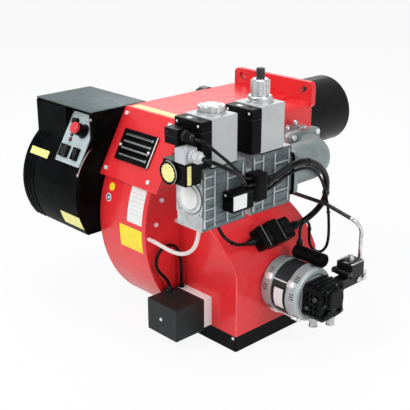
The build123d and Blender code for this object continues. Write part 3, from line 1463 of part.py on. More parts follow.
ignition_cable_points = [
    (50, -364, -284), (50, -364, -269), (48, -372, -254), (45, -384, -241), (44, -392, -227),
    (44, -393, -210), (44, -383.5, -194), (44, -365, -186), (44, -346.5, -190), (44, -333.5, -204),
    (46, -329, -225), (49, -329, -246), (50, -330, -267), (50, -330, -287)]
pressure_hose_radius = 4.0
pressure_hose_points = [
    (base_left_x, -402, -165), (50, -402, -165), (74, -400, -169), (100, -400, -171.5),
    (127, -400, -169), (151, -400, -158), (169, -402, -141), (181, -406, -120), (187, -408, -99),
    (187, -408, -83)]

# Main cable, from the sleeve up and round to the right nose of the connector
with BuildPart() as main_cable:
    with BuildLine() as main_path:
        FilletPolyline(*main_cable_points, radius=bend_radii(main_cable_points))
    with BuildSketch(Plane(origin=main_cable_points[0], z_dir=main_path.wires()[0] % 0)):
        Circle(main_cable_radius)
    sweep(path=main_path.wires()[0])
main_cable.part.label = "main_cable"
export_step(main_cable.part, "parts/main_cable.step")

# Motor cable, beside the main cable and down in one tied loop to the capacitor
with BuildPart() as motor_cable:
    with BuildLine() as motor_path:
        FilletPolyline(*motor_cable_points, radius=bend_radii(motor_cable_points))
    with BuildSketch(Plane(origin=motor_cable_points[0], z_dir=motor_path.wires()[0] % 0)):
        Circle(motor_cable_radius)
    sweep(path=motor_path.wires()[0])
motor_cable.part.label = "motor_cable"
export_step(motor_cable.part, "parts/motor_cable.step")

# Valve cable, from the left nose of the connector up under the first valve
with BuildPart() as valve_cable:
    with BuildLine() as valve_path:
        FilletPolyline(*valve_cable_points, radius=bend_radii(valve_cable_points))
    with BuildSketch(Plane(origin=valve_cable_points[0], z_dir=valve_path.wires()[0] % 0)):
        Circle(valve_cable_radius)
    sweep(path=valve_path.wires()[0])
valve_cable.part.label = "valve_cable"
export_step(valve_cable.part, "parts/valve_cable.step")

# Coil cable, from the coil plug down to the sleeve
with BuildPart() as coil_cable:
    with BuildLine() as coil_path:
        FilletPolyline(*coil_cable_points, radius=bend_radii(coil_cable_points))
    with BuildSketch(Plane(origin=coil_cable_points[0], z_dir=coil_path.wires()[0] % 0)):
        Circle(coil_cable_radius)
    sweep(path=coil_path.wires()[0])
coil_cable.part.label = "coil_cable"
export_step(coil_cable.part, "parts/coil_cable.step")

# Switch cable, from the plug of the pressure switch to the sleeve
with BuildPart() as switch_cable:
    with BuildLine() as switch_path:
        FilletPolyline(*switch_cable_points, radius=bend_radii(switch_cable_points))
    with BuildSketch(Plane(origin=switch_cable_points[0], z_dir=switch_path.wires()[0] % 0)):
        Circle(switch_cable_radius)
    sweep(path=switch_path.wires()[0])
switch_cable.part.label = "switch_cable"
export_step(switch_cable.part, "parts/switch_cable.step")

# Ignition cable, a loop from the transformer back to its mounting block
with BuildPart() as ignition_cable:
    with BuildLine() as ignition_path:
        FilletPolyline(*ignition_cable_points, radius=bend_radii(ignition_cable_points))
    with BuildSketch(Plane(origin=ignition_cable_points[0], z_dir=ignition_path.wires()[0] % 0)):
        Circle(ignition_cable_radius)
    sweep(path=ignition_path.wires()[0])
ignition_cable.part.label = "ignition_cable"
export_step(ignition_cable.part, "parts/ignition_cable.step")

# Pressure hose, from a tap on the scroll to the underside of the first valve
with BuildPart() as pressure_hose:
    with BuildLine() as hose_path:
        FilletPolyline(*pressure_hose_points, radius=bend_radii(pressure_hose_points))
    with BuildSketch(Plane(origin=pressure_hose_points[0], z_dir=hose_path.wires()[0] % 0)):
        Circle(pressure_hose_radius)
    sweep(path=hose_path.wires()[0])
pressure_hose.part.label = "pressure_hose"
export_step(pressure_hose.part, "parts/pressure_hose.step")

# The bend radii and lengths of the cables, and how far each volume is from section times length
cables = [("main cable", main_cable, main_path, main_cable_radius, main_cable_points),
          ("motor cable", motor_cable, motor_path, motor_cable_radius, motor_cable_points),
          ("valve cable", valve_cable, valve_path, valve_cable_radius, valve_cable_points),
          ("coil cable", coil_cable, coil_path, coil_cable_radius, coil_cable_points),
          ("switch cable", switch_cable, switch_path, switch_cable_radius, switch_cable_points),
          ("ignition cable", ignition_cable, ignition_path, ignition_cable_radius, ignition_cable_points),
          ("pressure hose", pressure_hose, hose_path, pressure_hose_radius, pressure_hose_points)]
for name, cable, path, radius, points in cables:
    length = path.wires()[0].length
    share = cable.part.volume / (pi * radius ** 2 * length)
    print(name, "length", round(length, 1), "volume share", round(share, 4),
          "radii", [round(bend) for bend in bend_radii(points)])
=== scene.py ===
"""Looks of the dual fuel burner: materials for its solids, the cables, and the small details.

Lengths are written in millimetres and scaled to metres where a piece is made. The frame is the
part's own: the origin on the firing axis at the boiler flange, +Y the way the flame goes, +Z up.
"""
from math import cos, pi, radians, sin

import bmesh
import bpy
from mathutils import Matrix, Vector


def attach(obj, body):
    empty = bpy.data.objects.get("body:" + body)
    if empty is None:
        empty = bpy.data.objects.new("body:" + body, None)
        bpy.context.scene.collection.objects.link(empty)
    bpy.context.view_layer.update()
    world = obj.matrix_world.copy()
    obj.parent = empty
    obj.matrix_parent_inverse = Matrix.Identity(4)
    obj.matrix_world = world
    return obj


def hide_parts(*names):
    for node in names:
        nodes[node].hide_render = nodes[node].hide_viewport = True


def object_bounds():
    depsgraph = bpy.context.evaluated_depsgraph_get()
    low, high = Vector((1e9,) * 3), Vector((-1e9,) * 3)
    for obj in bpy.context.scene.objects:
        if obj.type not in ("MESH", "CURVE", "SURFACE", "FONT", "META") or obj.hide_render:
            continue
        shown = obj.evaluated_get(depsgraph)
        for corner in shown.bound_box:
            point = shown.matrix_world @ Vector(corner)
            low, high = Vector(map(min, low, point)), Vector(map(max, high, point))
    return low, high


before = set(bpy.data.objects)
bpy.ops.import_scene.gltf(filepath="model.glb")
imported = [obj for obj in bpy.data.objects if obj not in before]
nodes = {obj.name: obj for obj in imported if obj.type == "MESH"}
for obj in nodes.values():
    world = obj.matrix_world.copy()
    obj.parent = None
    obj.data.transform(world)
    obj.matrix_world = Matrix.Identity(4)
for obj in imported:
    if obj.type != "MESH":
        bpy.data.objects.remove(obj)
cad_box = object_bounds()
MM = 0.001

# Camera at the photograph's viewing angle
AZIMUTH, ELEVATION = radians(46.5), radians(20.4)
back = Vector((sin(AZIMUTH) * cos(ELEVATION), -cos(AZIMUTH) * cos(ELEVATION), sin(ELEVATION)))
camera = bpy.data.objects.new("camera", bpy.data.cameras.new("camera"))
camera.location = (1.2702, -1.4207, 0.5022)
camera.rotation_euler = back.to_track_quat("Z", "Y").to_euler()
camera.data.lens = 76.3
camera.data.sensor_width = 36.0
bpy.context.scene.collection.objects.link(camera)
bpy.context.scene.camera = camera
bpy.context.scene.view_settings.view_transform = "Standard"


# Materials, all of procedural nodes in the part's own coordinates
def surface(name, colour, roughness, metallic=0.0, coat=0.0, tone=0.08, tone_scale=28.0,
            grain=0.0, grain_scale=900.0, wave=0.0, wave_scale=70.0, stretch=(1, 1, 1), spread=0.08,
            speck=None, zones=(), shine=0.5):
    """A Principled material with uneven tone and gloss, fine grain, slow waves and coloured zones.

    Each zone is (axis, side, place in mm, colour, metallic, roughness): beyond the place on that
    side along the axis the surface takes the zone's look.
    """
    material = bpy.data.materials.new(name)
    material.use_nodes = True
    tree = material.node_tree
    shader = tree.nodes["Principled BSDF"]
    place = tree.nodes.new("ShaderNodeTexCoord")
    mapping = tree.nodes.new("ShaderNodeMapping")
    mapping.inputs["Scale"].default_value = stretch
    tree.links.new(place.outputs["Object"], mapping.inputs["Vector"])

    def noise(scale, detail=4.0):
        node = tree.nodes.new("ShaderNodeTexNoise")
        node.inputs["Scale"].default_value = scale
        node.inputs["Detail"].default_value = detail
        tree.links.new(mapping.outputs["Vector"], node.inputs["Vector"])
        return node.outputs["Fac"]

    def remap(value, low, high, start=0.3, end=0.7):
        node = tree.nodes.new("ShaderNodeMapRange")
        node.inputs["From Min"].default_value = start
        node.inputs["From Max"].default_value = end
        node.inputs["To Min"].default_value = low
        node.inputs["To Max"].default_value = high
        tree.links.new(value, node.inputs["Value"])
        return node.outputs["Result"]

    def mix(factor, first, second, kind="RGBA"):
        node = tree.nodes.new("ShaderNodeMix")
        node.data_type = kind
        sockets = (0, 6, 7, 2) if kind == "RGBA" else (0, 2, 3, 0)
        tree.links.new(factor, node.inputs[sockets[0]])
        for socket, value in zip(sockets[1:3], (first, second)):
            if isinstance(value, (int, float)):
                node.inputs[socket].default_value = value
            elif isinstance(value, tuple):
                node.inputs[socket].default_value = (*value, 1.0)
            else:
                tree.links.new(value, node.inputs[socket])
        return node.outputs[sockets[3]]

    def shades(rgb):
        dark = tuple(c * (1 - tone) for c in rgb)
        light = tuple(min(1.0, c * (1 + tone) + 0.01 * tone) for c in rgb)
        return dark, light

    tones = remap(noise(tone_scale), 0.0, 1.0)
    base = mix(tones, *shades(colour))
    gloss = remap(noise(tone_scale * 2.3), max(0.02, roughness - spread), min(1.0, roughness + spread))
    metal = metallic
    if speck:
        scale, limit, rgb = speck
        flecks = remap(noise(scale, 2.0), 0.0, 1.0, limit, limit + 0.04)
        base = mix(flecks, base, rgb)
    for axis, side, edge, rgb, zone_metal, zone_rough in zones:
        split = tree.nodes.new("ShaderNodeSeparateXYZ")
        tree.links.new(place.outputs["Object"], split.inputs["Vector"])
        mask = tree.nodes.new("ShaderNodeMath")
        mask.operation = "GREATER_THAN" if side > 0 else "LESS_THAN"
        mask.inputs[1].default_value = edge * MM
        tree.links.new(split.outputs[axis], mask.inputs[0])
        base = mix(mask.outputs[0], base, mix(tones, *shades(rgb)))
        gloss = mix(mask.outputs[0], gloss, zone_rough, "FLOAT")
        metal = mix(mask.outputs[0], metal, zone_metal, "FLOAT")
    tree.links.new(base, shader.inputs["Base Color"])
    tree.links.new(gloss, shader.inputs["Roughness"])
    if zones:
        tree.links.new(metal, shader.inputs["Metallic"])
    else:
        shader.inputs["Metallic"].default_value = metallic
    shader.inputs["Specular IOR Level"].default_value = shine
    shader.inputs["Coat Weight"].default_value = coat
    shader.inputs["Coat Roughness"].default_value = 0.06
    normal = None
    for strength, scale, depth in ((wave, wave_scale, 0.0006), (grain, grain_scale, 0.0002)):
        if strength:
            bump = tree.nodes.new("ShaderNodeBump")
            bump.inputs["Strength"].default_value = strength
            bump.inputs["Distance"].default_value = depth
            tree.links.new(noise(scale, 3.0), bump.inputs["Height"])
            if normal:
                tree.links.new(normal, bump.inputs["Normal"])
            normal = bump.outputs["Normal"]
    if normal:
        tree.links.new(normal, shader.inputs["Normal"])
        if coat:
            tree.links.new(normal, shader.inputs["Coat Normal"])
    return material


SILVER = (0.60, 0.61, 0.62)
BLACK = (0.006, 0.006, 0.0065)
RED = (0.76, 0.024, 0.030)
looks = {
    "red_paint": surface("red_paint", RED, 0.32, coat=0.30, tone=0.05, wave=0.08,
                         wave_scale=420, tone_scale=9, grain=0.04, grain_scale=1500, shine=0.35),
    "black_paint": surface("black_paint", (0.0025, 0.0032, 0.0032), 0.34, wave=0.10, wave_scale=380,
                           tone=0.25, shine=0.07),
    "tube_black": surface("tube_black", (0.003, 0.003, 0.0035), 0.28, wave=0.10, wave_scale=380, tone=0.3,
                          grain=0.15, shine=0.14, zones=(("Y", -1, 0.4, RED, 0.0, 0.32),)),
    "hood_black": surface("hood_black", (0.0018, 0.0022, 0.0024), 0.34, wave=0.12, wave_scale=260,
                          tone=0.35, grain=0.15, grain_scale=1600, shine=0.02),
    "black_plastic": surface("black_plastic", (0.0022, 0.0022, 0.0025), 0.34, tone=0.3, grain=0.28,
                             grain_scale=1700, spread=0.1, shine=0.06),
    "box_black": surface("box_black", (0.009, 0.014, 0.014), 0.40, tone=0.2, tone_scale=60, grain=0.35,
                         grain_scale=1500, shine=0.25),
    "gloss_black": surface("gloss_black", BLACK, 0.18, coat=0.08, tone=0.2,
                           wave=0.05, wave_scale=200, shine=0.3),
    "panel_grey": surface("panel_grey", (0.47, 0.56, 0.58), 0.34, coat=0.2, tone=0.04, grain=0.08,
                          grain_scale=1200),
    "white_plastic": surface("white_plastic", (0.82, 0.82, 0.80), 0.38, tone=0.05, grain=0.10,
                             grain_scale=1500),
    "grey_plastic": surface("grey_plastic", (0.52, 0.53, 0.55), 0.40, tone=0.05, grain=0.18,
                            grain_scale=1500),
    "red_plastic": surface("red_plastic", (0.66, 0.022, 0.030), 0.22, coat=0.4, tone=0.08,
                           wave=0.04, wave_scale=300),
    "dial_yellow": surface("dial_yellow", (0.86, 0.80, 0.30), 0.42, tone=0.06, grain=0.10,
                           grain_scale=1500),
    "cast_aluminium": surface("cast_aluminium", (0.46, 0.48, 0.48), 0.44, metallic=0.55, tone=0.22,
                              tone_scale=60, grain=0.55, grain_scale=620, wave=0.25, wave_scale=90,
                              speck=(1300, 0.63, (0.22, 0.23, 0.24))),
    # valve bodies: cast aluminium, with the zone beyond X 230 mm, their right sides, in dark grey as painted
    # shade
    "valve_casting_shaded_side": surface("valve_casting_shaded_side", (0.50, 0.52, 0.52), 0.44, metallic=0.5, tone=0.22,
                             tone_scale=60, grain=0.5, grain_scale=620, wave=0.25, wave_scale=90,
                             speck=(1300, 0.63, (0.26, 0.28, 0.28)),
                             zones=(("X", 1, 230.0, (0.125, 0.155, 0.16), 0.35, 0.46),)),
    "rib_casting": surface("rib_casting", (0.58, 0.61, 0.61), 0.40, metallic=0.4, tone=0.15,
                           tone_scale=90, grain=0.4, grain_scale=620),
    "turned_silver": surface("turned_silver", (0.66, 0.67, 0.68), 0.26, metallic=0.9, tone=0.10,
                             stretch=(1, 1, 14), grain=0.25, grain_scale=420),
    "motor_silver": surface("motor_silver", (0.44, 0.49, 0.485), 0.38, metallic=0.3, tone=0.10,
                            stretch=(9, 1, 1), grain=0.30, grain_scale=420),
    "galvanised": surface("galvanised", (0.52, 0.53, 0.54), 0.38, metallic=0.85, tone=0.20,
                          tone_scale=180, grain=0.2, grain_scale=700),
    "elbow_grey": surface("elbow_grey", (0.24, 0.285, 0.285), 0.46, metallic=0.45, tone=0.12,
                          tone_scale=40, grain=0.30, grain_scale=800, wave=0.15, wave_scale=80),
    "steel": surface("steel", (0.58, 0.58, 0.58), 0.28, metallic=0.95, tone=0.12, tone_scale=120,
                     stretch=(1, 6, 1), grain=0.15, grain_scale=600),
    "chrome": surface("chrome", (0.70, 0.70, 0.71), 0.14, metallic=1.0, tone=0.08, tone_scale=90,
                      wave=0.05, wave_scale=200),
    "ceramic": surface("ceramic", (0.80, 0.77, 0.70), 0.25, coat=0.4, tone=0.06, wave=0.05,
                       wave_scale=260),
    "pump_black": surface("pump_black", (0.0018, 0.002, 0.0022), 0.30, tone=0.4,
                          tone_scale=80, grain=0.5, grain_scale=520, wave=0.25, wave_scale=120,
                          speck=(420, 0.63, (0.022, 0.026, 0.03)), shine=0.09),
    "stator_grey": surface("stator_grey", (0.020, 0.028, 0.030), 0.36, tone=0.3, stretch=(12, 1, 1),
                           grain=0.4, grain_scale=300, shine=0.35),
    "rubber": surface("rubber", (0.0022, 0.0022, 0.0025), 0.20, tone=0.3, grain=0.12, grain_scale=900,
                      shine=0.14),
    "pipe": surface("pipe", (0.03, 0.03, 0.033), 0.30, metallic=0.3, tone=0.3, tone_scale=90, grain=0.15,
                    zones=(("X", 1, 304.0, (0.66, 0.67, 0.69), 0.9, 0.20),)),
    "hose_white": surface("hose_white", (0.74, 0.66, 0.63), 0.40, tone=0.08, tone_scale=60,
                          grain=0.12, grain_scale=900),
    "label_white": surface("label_white", (0.80, 0.81, 0.80), 0.45, tone=0.05, tone_scale=120,
                           grain=0.05, grain_scale=1500, spread=0.05),
    "label_yellow": surface("label_yellow", (0.90, 0.72, 0.02), 0.42, tone=0.06, tone_scale=90,
                            grain=0.05, grain_scale=1500, spread=0.05),
    "label_pale": surface("label_pale", (0.84, 0.80, 0.28), 0.42, tone=0.06, tone_scale=90,
                          grain=0.05, grain_scale=1500, spread=0.05),
    "label_blue": surface("label_blue", (0.03, 0.045, 0.20), 0.40, tone=0.12, tone_scale=90,
                          grain=0.05, grain_scale=1500, spread=0.05),
    "ink_grey": surface("ink_grey", (0.30, 0.31, 0.31), 0.5, tone=0.08, grain=0.05),
    "lamp_green": surface("lamp_green", (0.05, 0.11, 0.09), 0.12, coat=0.6, tone=0.25,
                          zones=(("Z", -1, 3.2, (0.42, 0.03, 0.03), 0.0, 0.14),)),
    # hood lid: a grey that stands for the sheen of light on the hood's black top, a painted sheen
    "hood_lid_sheen": surface("hood_lid_sheen", (0.085, 0.118, 0.123), 0.42, tone=0.10, wave=0.08, wave_scale=200,
                        grain=0.15, grain_scale=1600, shine=0.2),
    "switch_case": surface("switch_case", (0.80, 0.80, 0.78), 0.36, tone=0.05, grain=0.1,
                           zones=(("X", 1, -141.9, (0.008, 0.008, 0.009), 0.0, 0.36),)),
    # louvre glints: a light grey standing for the light caught by the black blades, a painted highlight
    "louvre_glint_grey": surface("louvre_glint_grey", (0.30, 0.32, 0.32), 0.30, metallic=0.4, tone=0.2,
                           tone_scale=90, grain=0.1),
    "pump_bolt": surface("pump_bolt", (0.06, 0.065, 0.07), 0.25, metallic=0.8, tone=0.3, grain=0.2),
    "bright_clamp": surface("bright_clamp", (0.80, 0.83, 0.83), 0.30, metallic=0.25, tone=0.08,
                            grain=0.15, grain_scale=700),
    # a lighter red for the bead on the cabinet's near corner, a painted highlight of its fold
    "fold_highlight_red": surface("fold_highlight_red", (0.85, 0.10, 0.10), 0.30, coat=0.3, tone=0.1, grain=0.05),
    "adjuster": surface("adjuster", (0.64, 0.65, 0.66), 0.24, metallic=0.9, tone=0.10,
                        stretch=(1, 1, 14), grain=0.2, grain_scale=420,
                        zones=(("Z", 1, 164.4, (0.012, 0.012, 0.013), 0.0, 0.42),)),
    "coil_top": surface("coil_top", (0.46, 0.48, 0.475), 0.40, metallic=0.15, tone=0.05, grain=0.18,
                        grain_scale=1100,
                        zones=(("Z", 1, 122.05, (0.62, 0.63, 0.64), 0.9, 0.28),)),
    "solenoid": surface("solenoid", BLACK, 0.34, tone=0.25, grain=0.25, grain_scale=1500, shine=0.25,
                        zones=(("Z", 1, -206.05, SILVER, 0.9, 0.30),
                               ("Y", 1, -95.9, SILVER, 0.9, 0.30))),
}

by_node = {
    "black_paint": "base_plinth intake_floor",
    "tube_black": "blast_tube",
    "red_paint": "base_cabinet fan_housing inlet_plate top_cover mounting_flange",
    "hood_black": "intake_hood",
    "black_plastic": "louvre_grille panel_fittings terminal_covers pressure_switch coil_plug "
                     "leak_tester capacitor connector cable_sleeve",
    "box_black": "transformer_cover",
    "gloss_black": "fuel_selector burner_switch",
    "panel_grey": "control_panel",
    "lamp_green": "pilot_lamps",
    "red_plastic": "reset_button",
    "white_plastic": "inlet_plug transformer_base",
    "switch_case": "air_switch",
    "grey_plastic": "damper_servo switch_plug",
    "dial_yellow": "pressure_dial",
    "cast_aluminium": "fan_motor throttle_housing",
    "valve_casting_shaded_side": "valve_body_1 valve_body_2",
    "elbow_grey": "gas_elbow",
    "coil_top": "coil_block_1 coil_block_2",
    "adjuster": "flow_adjuster",
    "galvanised": "fan_impeller air_damper gas_manifold pump_fittings diffuser",
    "bright_clamp": "housing_screws",
    "steel": "gas_throttle nozzle_lance pump_rotor",
    "ceramic": "electrodes",
    "motor_silver": "pump_motor_bells",
    "pump_black": "oil_pump",
    "stator_grey": "pump_stator",
    "solenoid": "solenoid_valve",
    "pipe": "oil_pipe",
    "rubber": "main_cable motor_cable valve_cable coil_cable switch_cable ignition_cable",
    "hose_white": "pressure_hose",
}
for look, names in by_node.items():
    for name in names.split():
        for material_slot in nodes[name].material_slots:
            material_slot.link = "OBJECT"
            material_slot.material = looks[look]
        if not nodes[name].material_slots:
            nodes[name].data.materials.append(looks[look])

# Cables and the hose, each along the route of its solid, point by point
routes = {
    "main_cable": (6.5, 386.5, "medium", [
        (249, -296, -14), (249, -280, -14), (252, -262, -7), (257, -238, 4.5), (258, -206, 7),
        (255, -168, -5), (249, -132, -28), (240, -107, -55), (229, -92, -83), (217.2, -79, -105.6),
        (205.8, -72.7, -124.1), (196.4, -74.6, -139.3), (188, -82.8, -152.9), (181.7, -96.2, -163.1),
        (178.3, -113, -168.6), (178.3, -129.5, -168.6)]),
    "motor_cable": (3.0, 517.2, "limp", [
        (249, -303, -32), (249, -289, -32), (252, -269, -23), (255, -243, -11), (255, -207, -8),
        (252, -171, -17), (246, -138, -40), (238, -113, -67), (235, -101, -92), (241, -99, -117),
        (249, -105, -138), (257, -113, -157), (261, -118, -178), (258, -121, -197),
        (247, -125, -209), (230.5, -127, -208), (220, -128, -195), (219, -128, -174),
        (220, -129, -155), (221, -140, -143), (223, -156, -142), (226, -167, -153),
        (228, -168, -168), (228, -168, -182.5)]),
    "valve_cable": (3.5, 154.6, "medium", [
        (178.3, -253.5, -168.6), (178.3, -269, -168.6), (181, -289, -165), (183, -309, -157),
        (185, -328, -145), (187, -345, -129), (189, -357, -112), (190, -364, -98),
        (190, -364, -83)]),
    "coil_cable": (3.0, 179.6, "limp", [
        (225, -459, 95), (241, -459, 95), (256, -452, 88), (260, -434, 71), (258, -408, 51),
        (255, -382, 29), (253, -364, 11), (252, -351, 2), (252, -337, 2)]),
    "switch_cable": (3.5, 186.7, "limp", [
        (256, -469, 68), (274, -469, 68), (288, -460, 63), (294, -439, 50), (289, -410, 34),
        (278, -387, 15), (266, -370, -1), (257, -354, -8), (257, -337, -8)]),
    "ignition_cable": (3.5, 240.6, "limp", [
        (50, -364, -284), (50, -364, -269), (48, -372, -254), (45, -384, -241), (44, -392, -227),
        (44, -393, -210), (44, -383.5, -194), (44, -365, -186), (44, -346.5, -190),
        (44, -333.5, -204), (46, -329, -225), (49, -329, -246), (50, -330, -267),
        (50, -330, -287)]),
    "pressure_hose": (4.0, 207.4, "limp", [
        (33, -402, -165), (50, -402, -165), (74, -400, -169), (100, -400, -171.5),
        (127, -400, -169), (151, -400, -158), (169, -402, -141), (181, -406, -120),
        (187, -408, -99), (187, -408, -83)]),
}
for name, (radius, length, stiffness, points) in routes.items():
    curve = bpy.data.curves.new(name + "_line", "CURVE")
    curve.dimensions = "3D"
    curve.resolution_u = 10
    curve.bevel_depth = radius * MM
    curve.bevel_resolution = 6
    curve.use_fill_caps = True
    spline = curve.splines.new("NURBS")
    spline.points.add(len(points) - 1)
    for control, point in zip(spline.points, points):
        control.co = (*(Vector(point) * MM), 1.0)
    spline.order_u = 3
    spline.use_endpoint_u = True
    flex = bpy.data.objects.new(name + "_sheath", curve)
    bpy.context.scene.collection.objects.link(flex)
    curve.materials.append(looks["hose_white" if name == "pressure_hose" else "rubber"])
    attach(flex, "burner")
    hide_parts(name)

# Floor and light
FLOOR_REACH, FLOOR_GAP = 8.0, 0.0002
floor_top = cad_box[0][2] - FLOOR_GAP
floor_mesh = bpy.data.meshes.new("floor")
floor_mesh.from_pydata([(sx * FLOOR_REACH, sy * FLOOR_REACH, floor_top)
                        for sx, sy in ((-1, -1), (1, -1), (1, 1), (-1, 1))], [], [(0, 1, 2, 3)])
floor = bpy.data.objects.new("floor", floor_mesh)
bpy.context.scene.collection.objects.link(floor)


def seen(tree, glossy):
    """1 for camera and transmission rays, a share of that for glossy rays, else 0."""
    path = tree.nodes.new("ShaderNodeLightPath")
    total = path.outputs["Is Camera Ray"]
    for ray, weight in (("Is Glossy Ray", glossy), ("Is Transmission Ray", 1.0)):
        add = tree.nodes.new("ShaderNodeMath")
        add.operation = "MULTIPLY_ADD"
        add.use_clamp = True
        tree.links.new(path.outputs[ray], add.inputs[0])
        add.inputs[1].default_value = weight
        tree.links.new(total, add.inputs[2])
        total = add.outputs[0]
    return total


paper = bpy.data.materials.new("floor_paper")
paper.use_nodes = True
tree = paper.node_tree
shader = tree.nodes["Principled BSDF"]
shader.inputs["Base Color"].default_value = (0.86, 0.86, 0.86, 1)
shader.inputs["Roughness"].default_value = 0.9
glow = tree.nodes.new("ShaderNodeEmission")
glow.inputs["Color"].default_value = (1, 1, 1, 1)
blend = tree.nodes.new("ShaderNodeMixShader")
share = tree.nodes.new("ShaderNodeMath")
share.operation = "MULTIPLY"
share.inputs[1].default_value = 0.90
tree.links.new(seen(tree, 0.55), share.inputs[0])
tree.links.new(share.outputs[0], blend.inputs[0])
tree.links.new(shader.outputs[0], blend.inputs[1])
tree.links.new(glow.outputs[0], blend.inputs[2])
tree.links.new(blend.outputs[0], tree.nodes["Material Output"].inputs["Surface"])
floor_mesh.materials.append(paper)

world = bpy.data.worlds.new("studio")
world.use_nodes = True
bpy.context.scene.world = world
tree = world.node_tree
sky = tree.nodes["Background"]
sky.inputs["Color"].default_value = (0.95, 0.97, 1.0, 1)
sky.inputs["Strength"].default_value = 0.42
white = tree.nodes.new("ShaderNodeBackground")
white.inputs["Color"].default_value = (1, 1, 1, 1)
white.inputs["Strength"].default_value = 1.0
blend = tree.nodes.new("ShaderNodeMixShader")
tree.links.new(seen(tree, 0.35), blend.inputs[0])
tree.links.new(sky.outputs[0], blend.inputs[1])
tree.links.new(white.outputs[0], blend.inputs[2])
tree.links.new(blend.outputs[0], tree.nodes["World Output"].inputs["Surface"])

AIM = Vector((0, -0.25, -0.1))
for name, place, size, power in (("key", (-0.5, -2.4, 1.5), 1.4, 38), ("fill", (2.4, -0.2, 0.9), 1.6, 25),
                                 ("top", (0.1, -0.2, 2.3), 1.8, 22), ("rim", (-1.6, 1.4, 1.4), 1.2, 14)):
    lamp = bpy.data.lights.new(name, "AREA")
    lamp.size = size
    lamp.energy = power
    light = bpy.data.objects.new(name, lamp)
    light.location = place
    light.rotation_euler = (Vector(place) - AIM).to_track_quat("Z", "Y").to_euler()
    bpy.context.scene.collection.objects.link(light)


# Small details, gathered in shapes and placed as pieces
def at(origin, x_dir=(1, 0, 0), z_dir=(0, 0, 1)):
    """Matrix of a local frame: its origin in mm, its x and z directions."""
    z = Vector(z_dir).normalized()
    x = (Vector(x_dir) - z * Vector(x_dir).dot(z)).normalized()
    y = z.cross(x)
    return Matrix.Translation(Vector(origin)) @ Matrix((x, y, z)).transposed().to_4x4()


def rounded(width, height, radius, steps=5):
    """Outline of a rectangle with round corners, about its middle."""
    outline = []
    for quarter, (sx, sy) in enumerate(((1, 1), (-1, 1), (-1, -1), (1, -1))):
        cx, cy = sx * (width / 2 - radius), sy * (height / 2 - radius)
        for i in range(steps + 1):
            angle = (quarter + i / steps) * pi / 2
            outline.append((cx + radius * cos(angle), cy + radius * sin(angle)))
    return outline


def ring_of(radius, count, turn=0.0):
    """Points evenly round a circle."""
    return [(radius * cos(turn + 2 * pi * i / count), radius * sin(turn + 2 * pi * i / count))
            for i in range(count)]


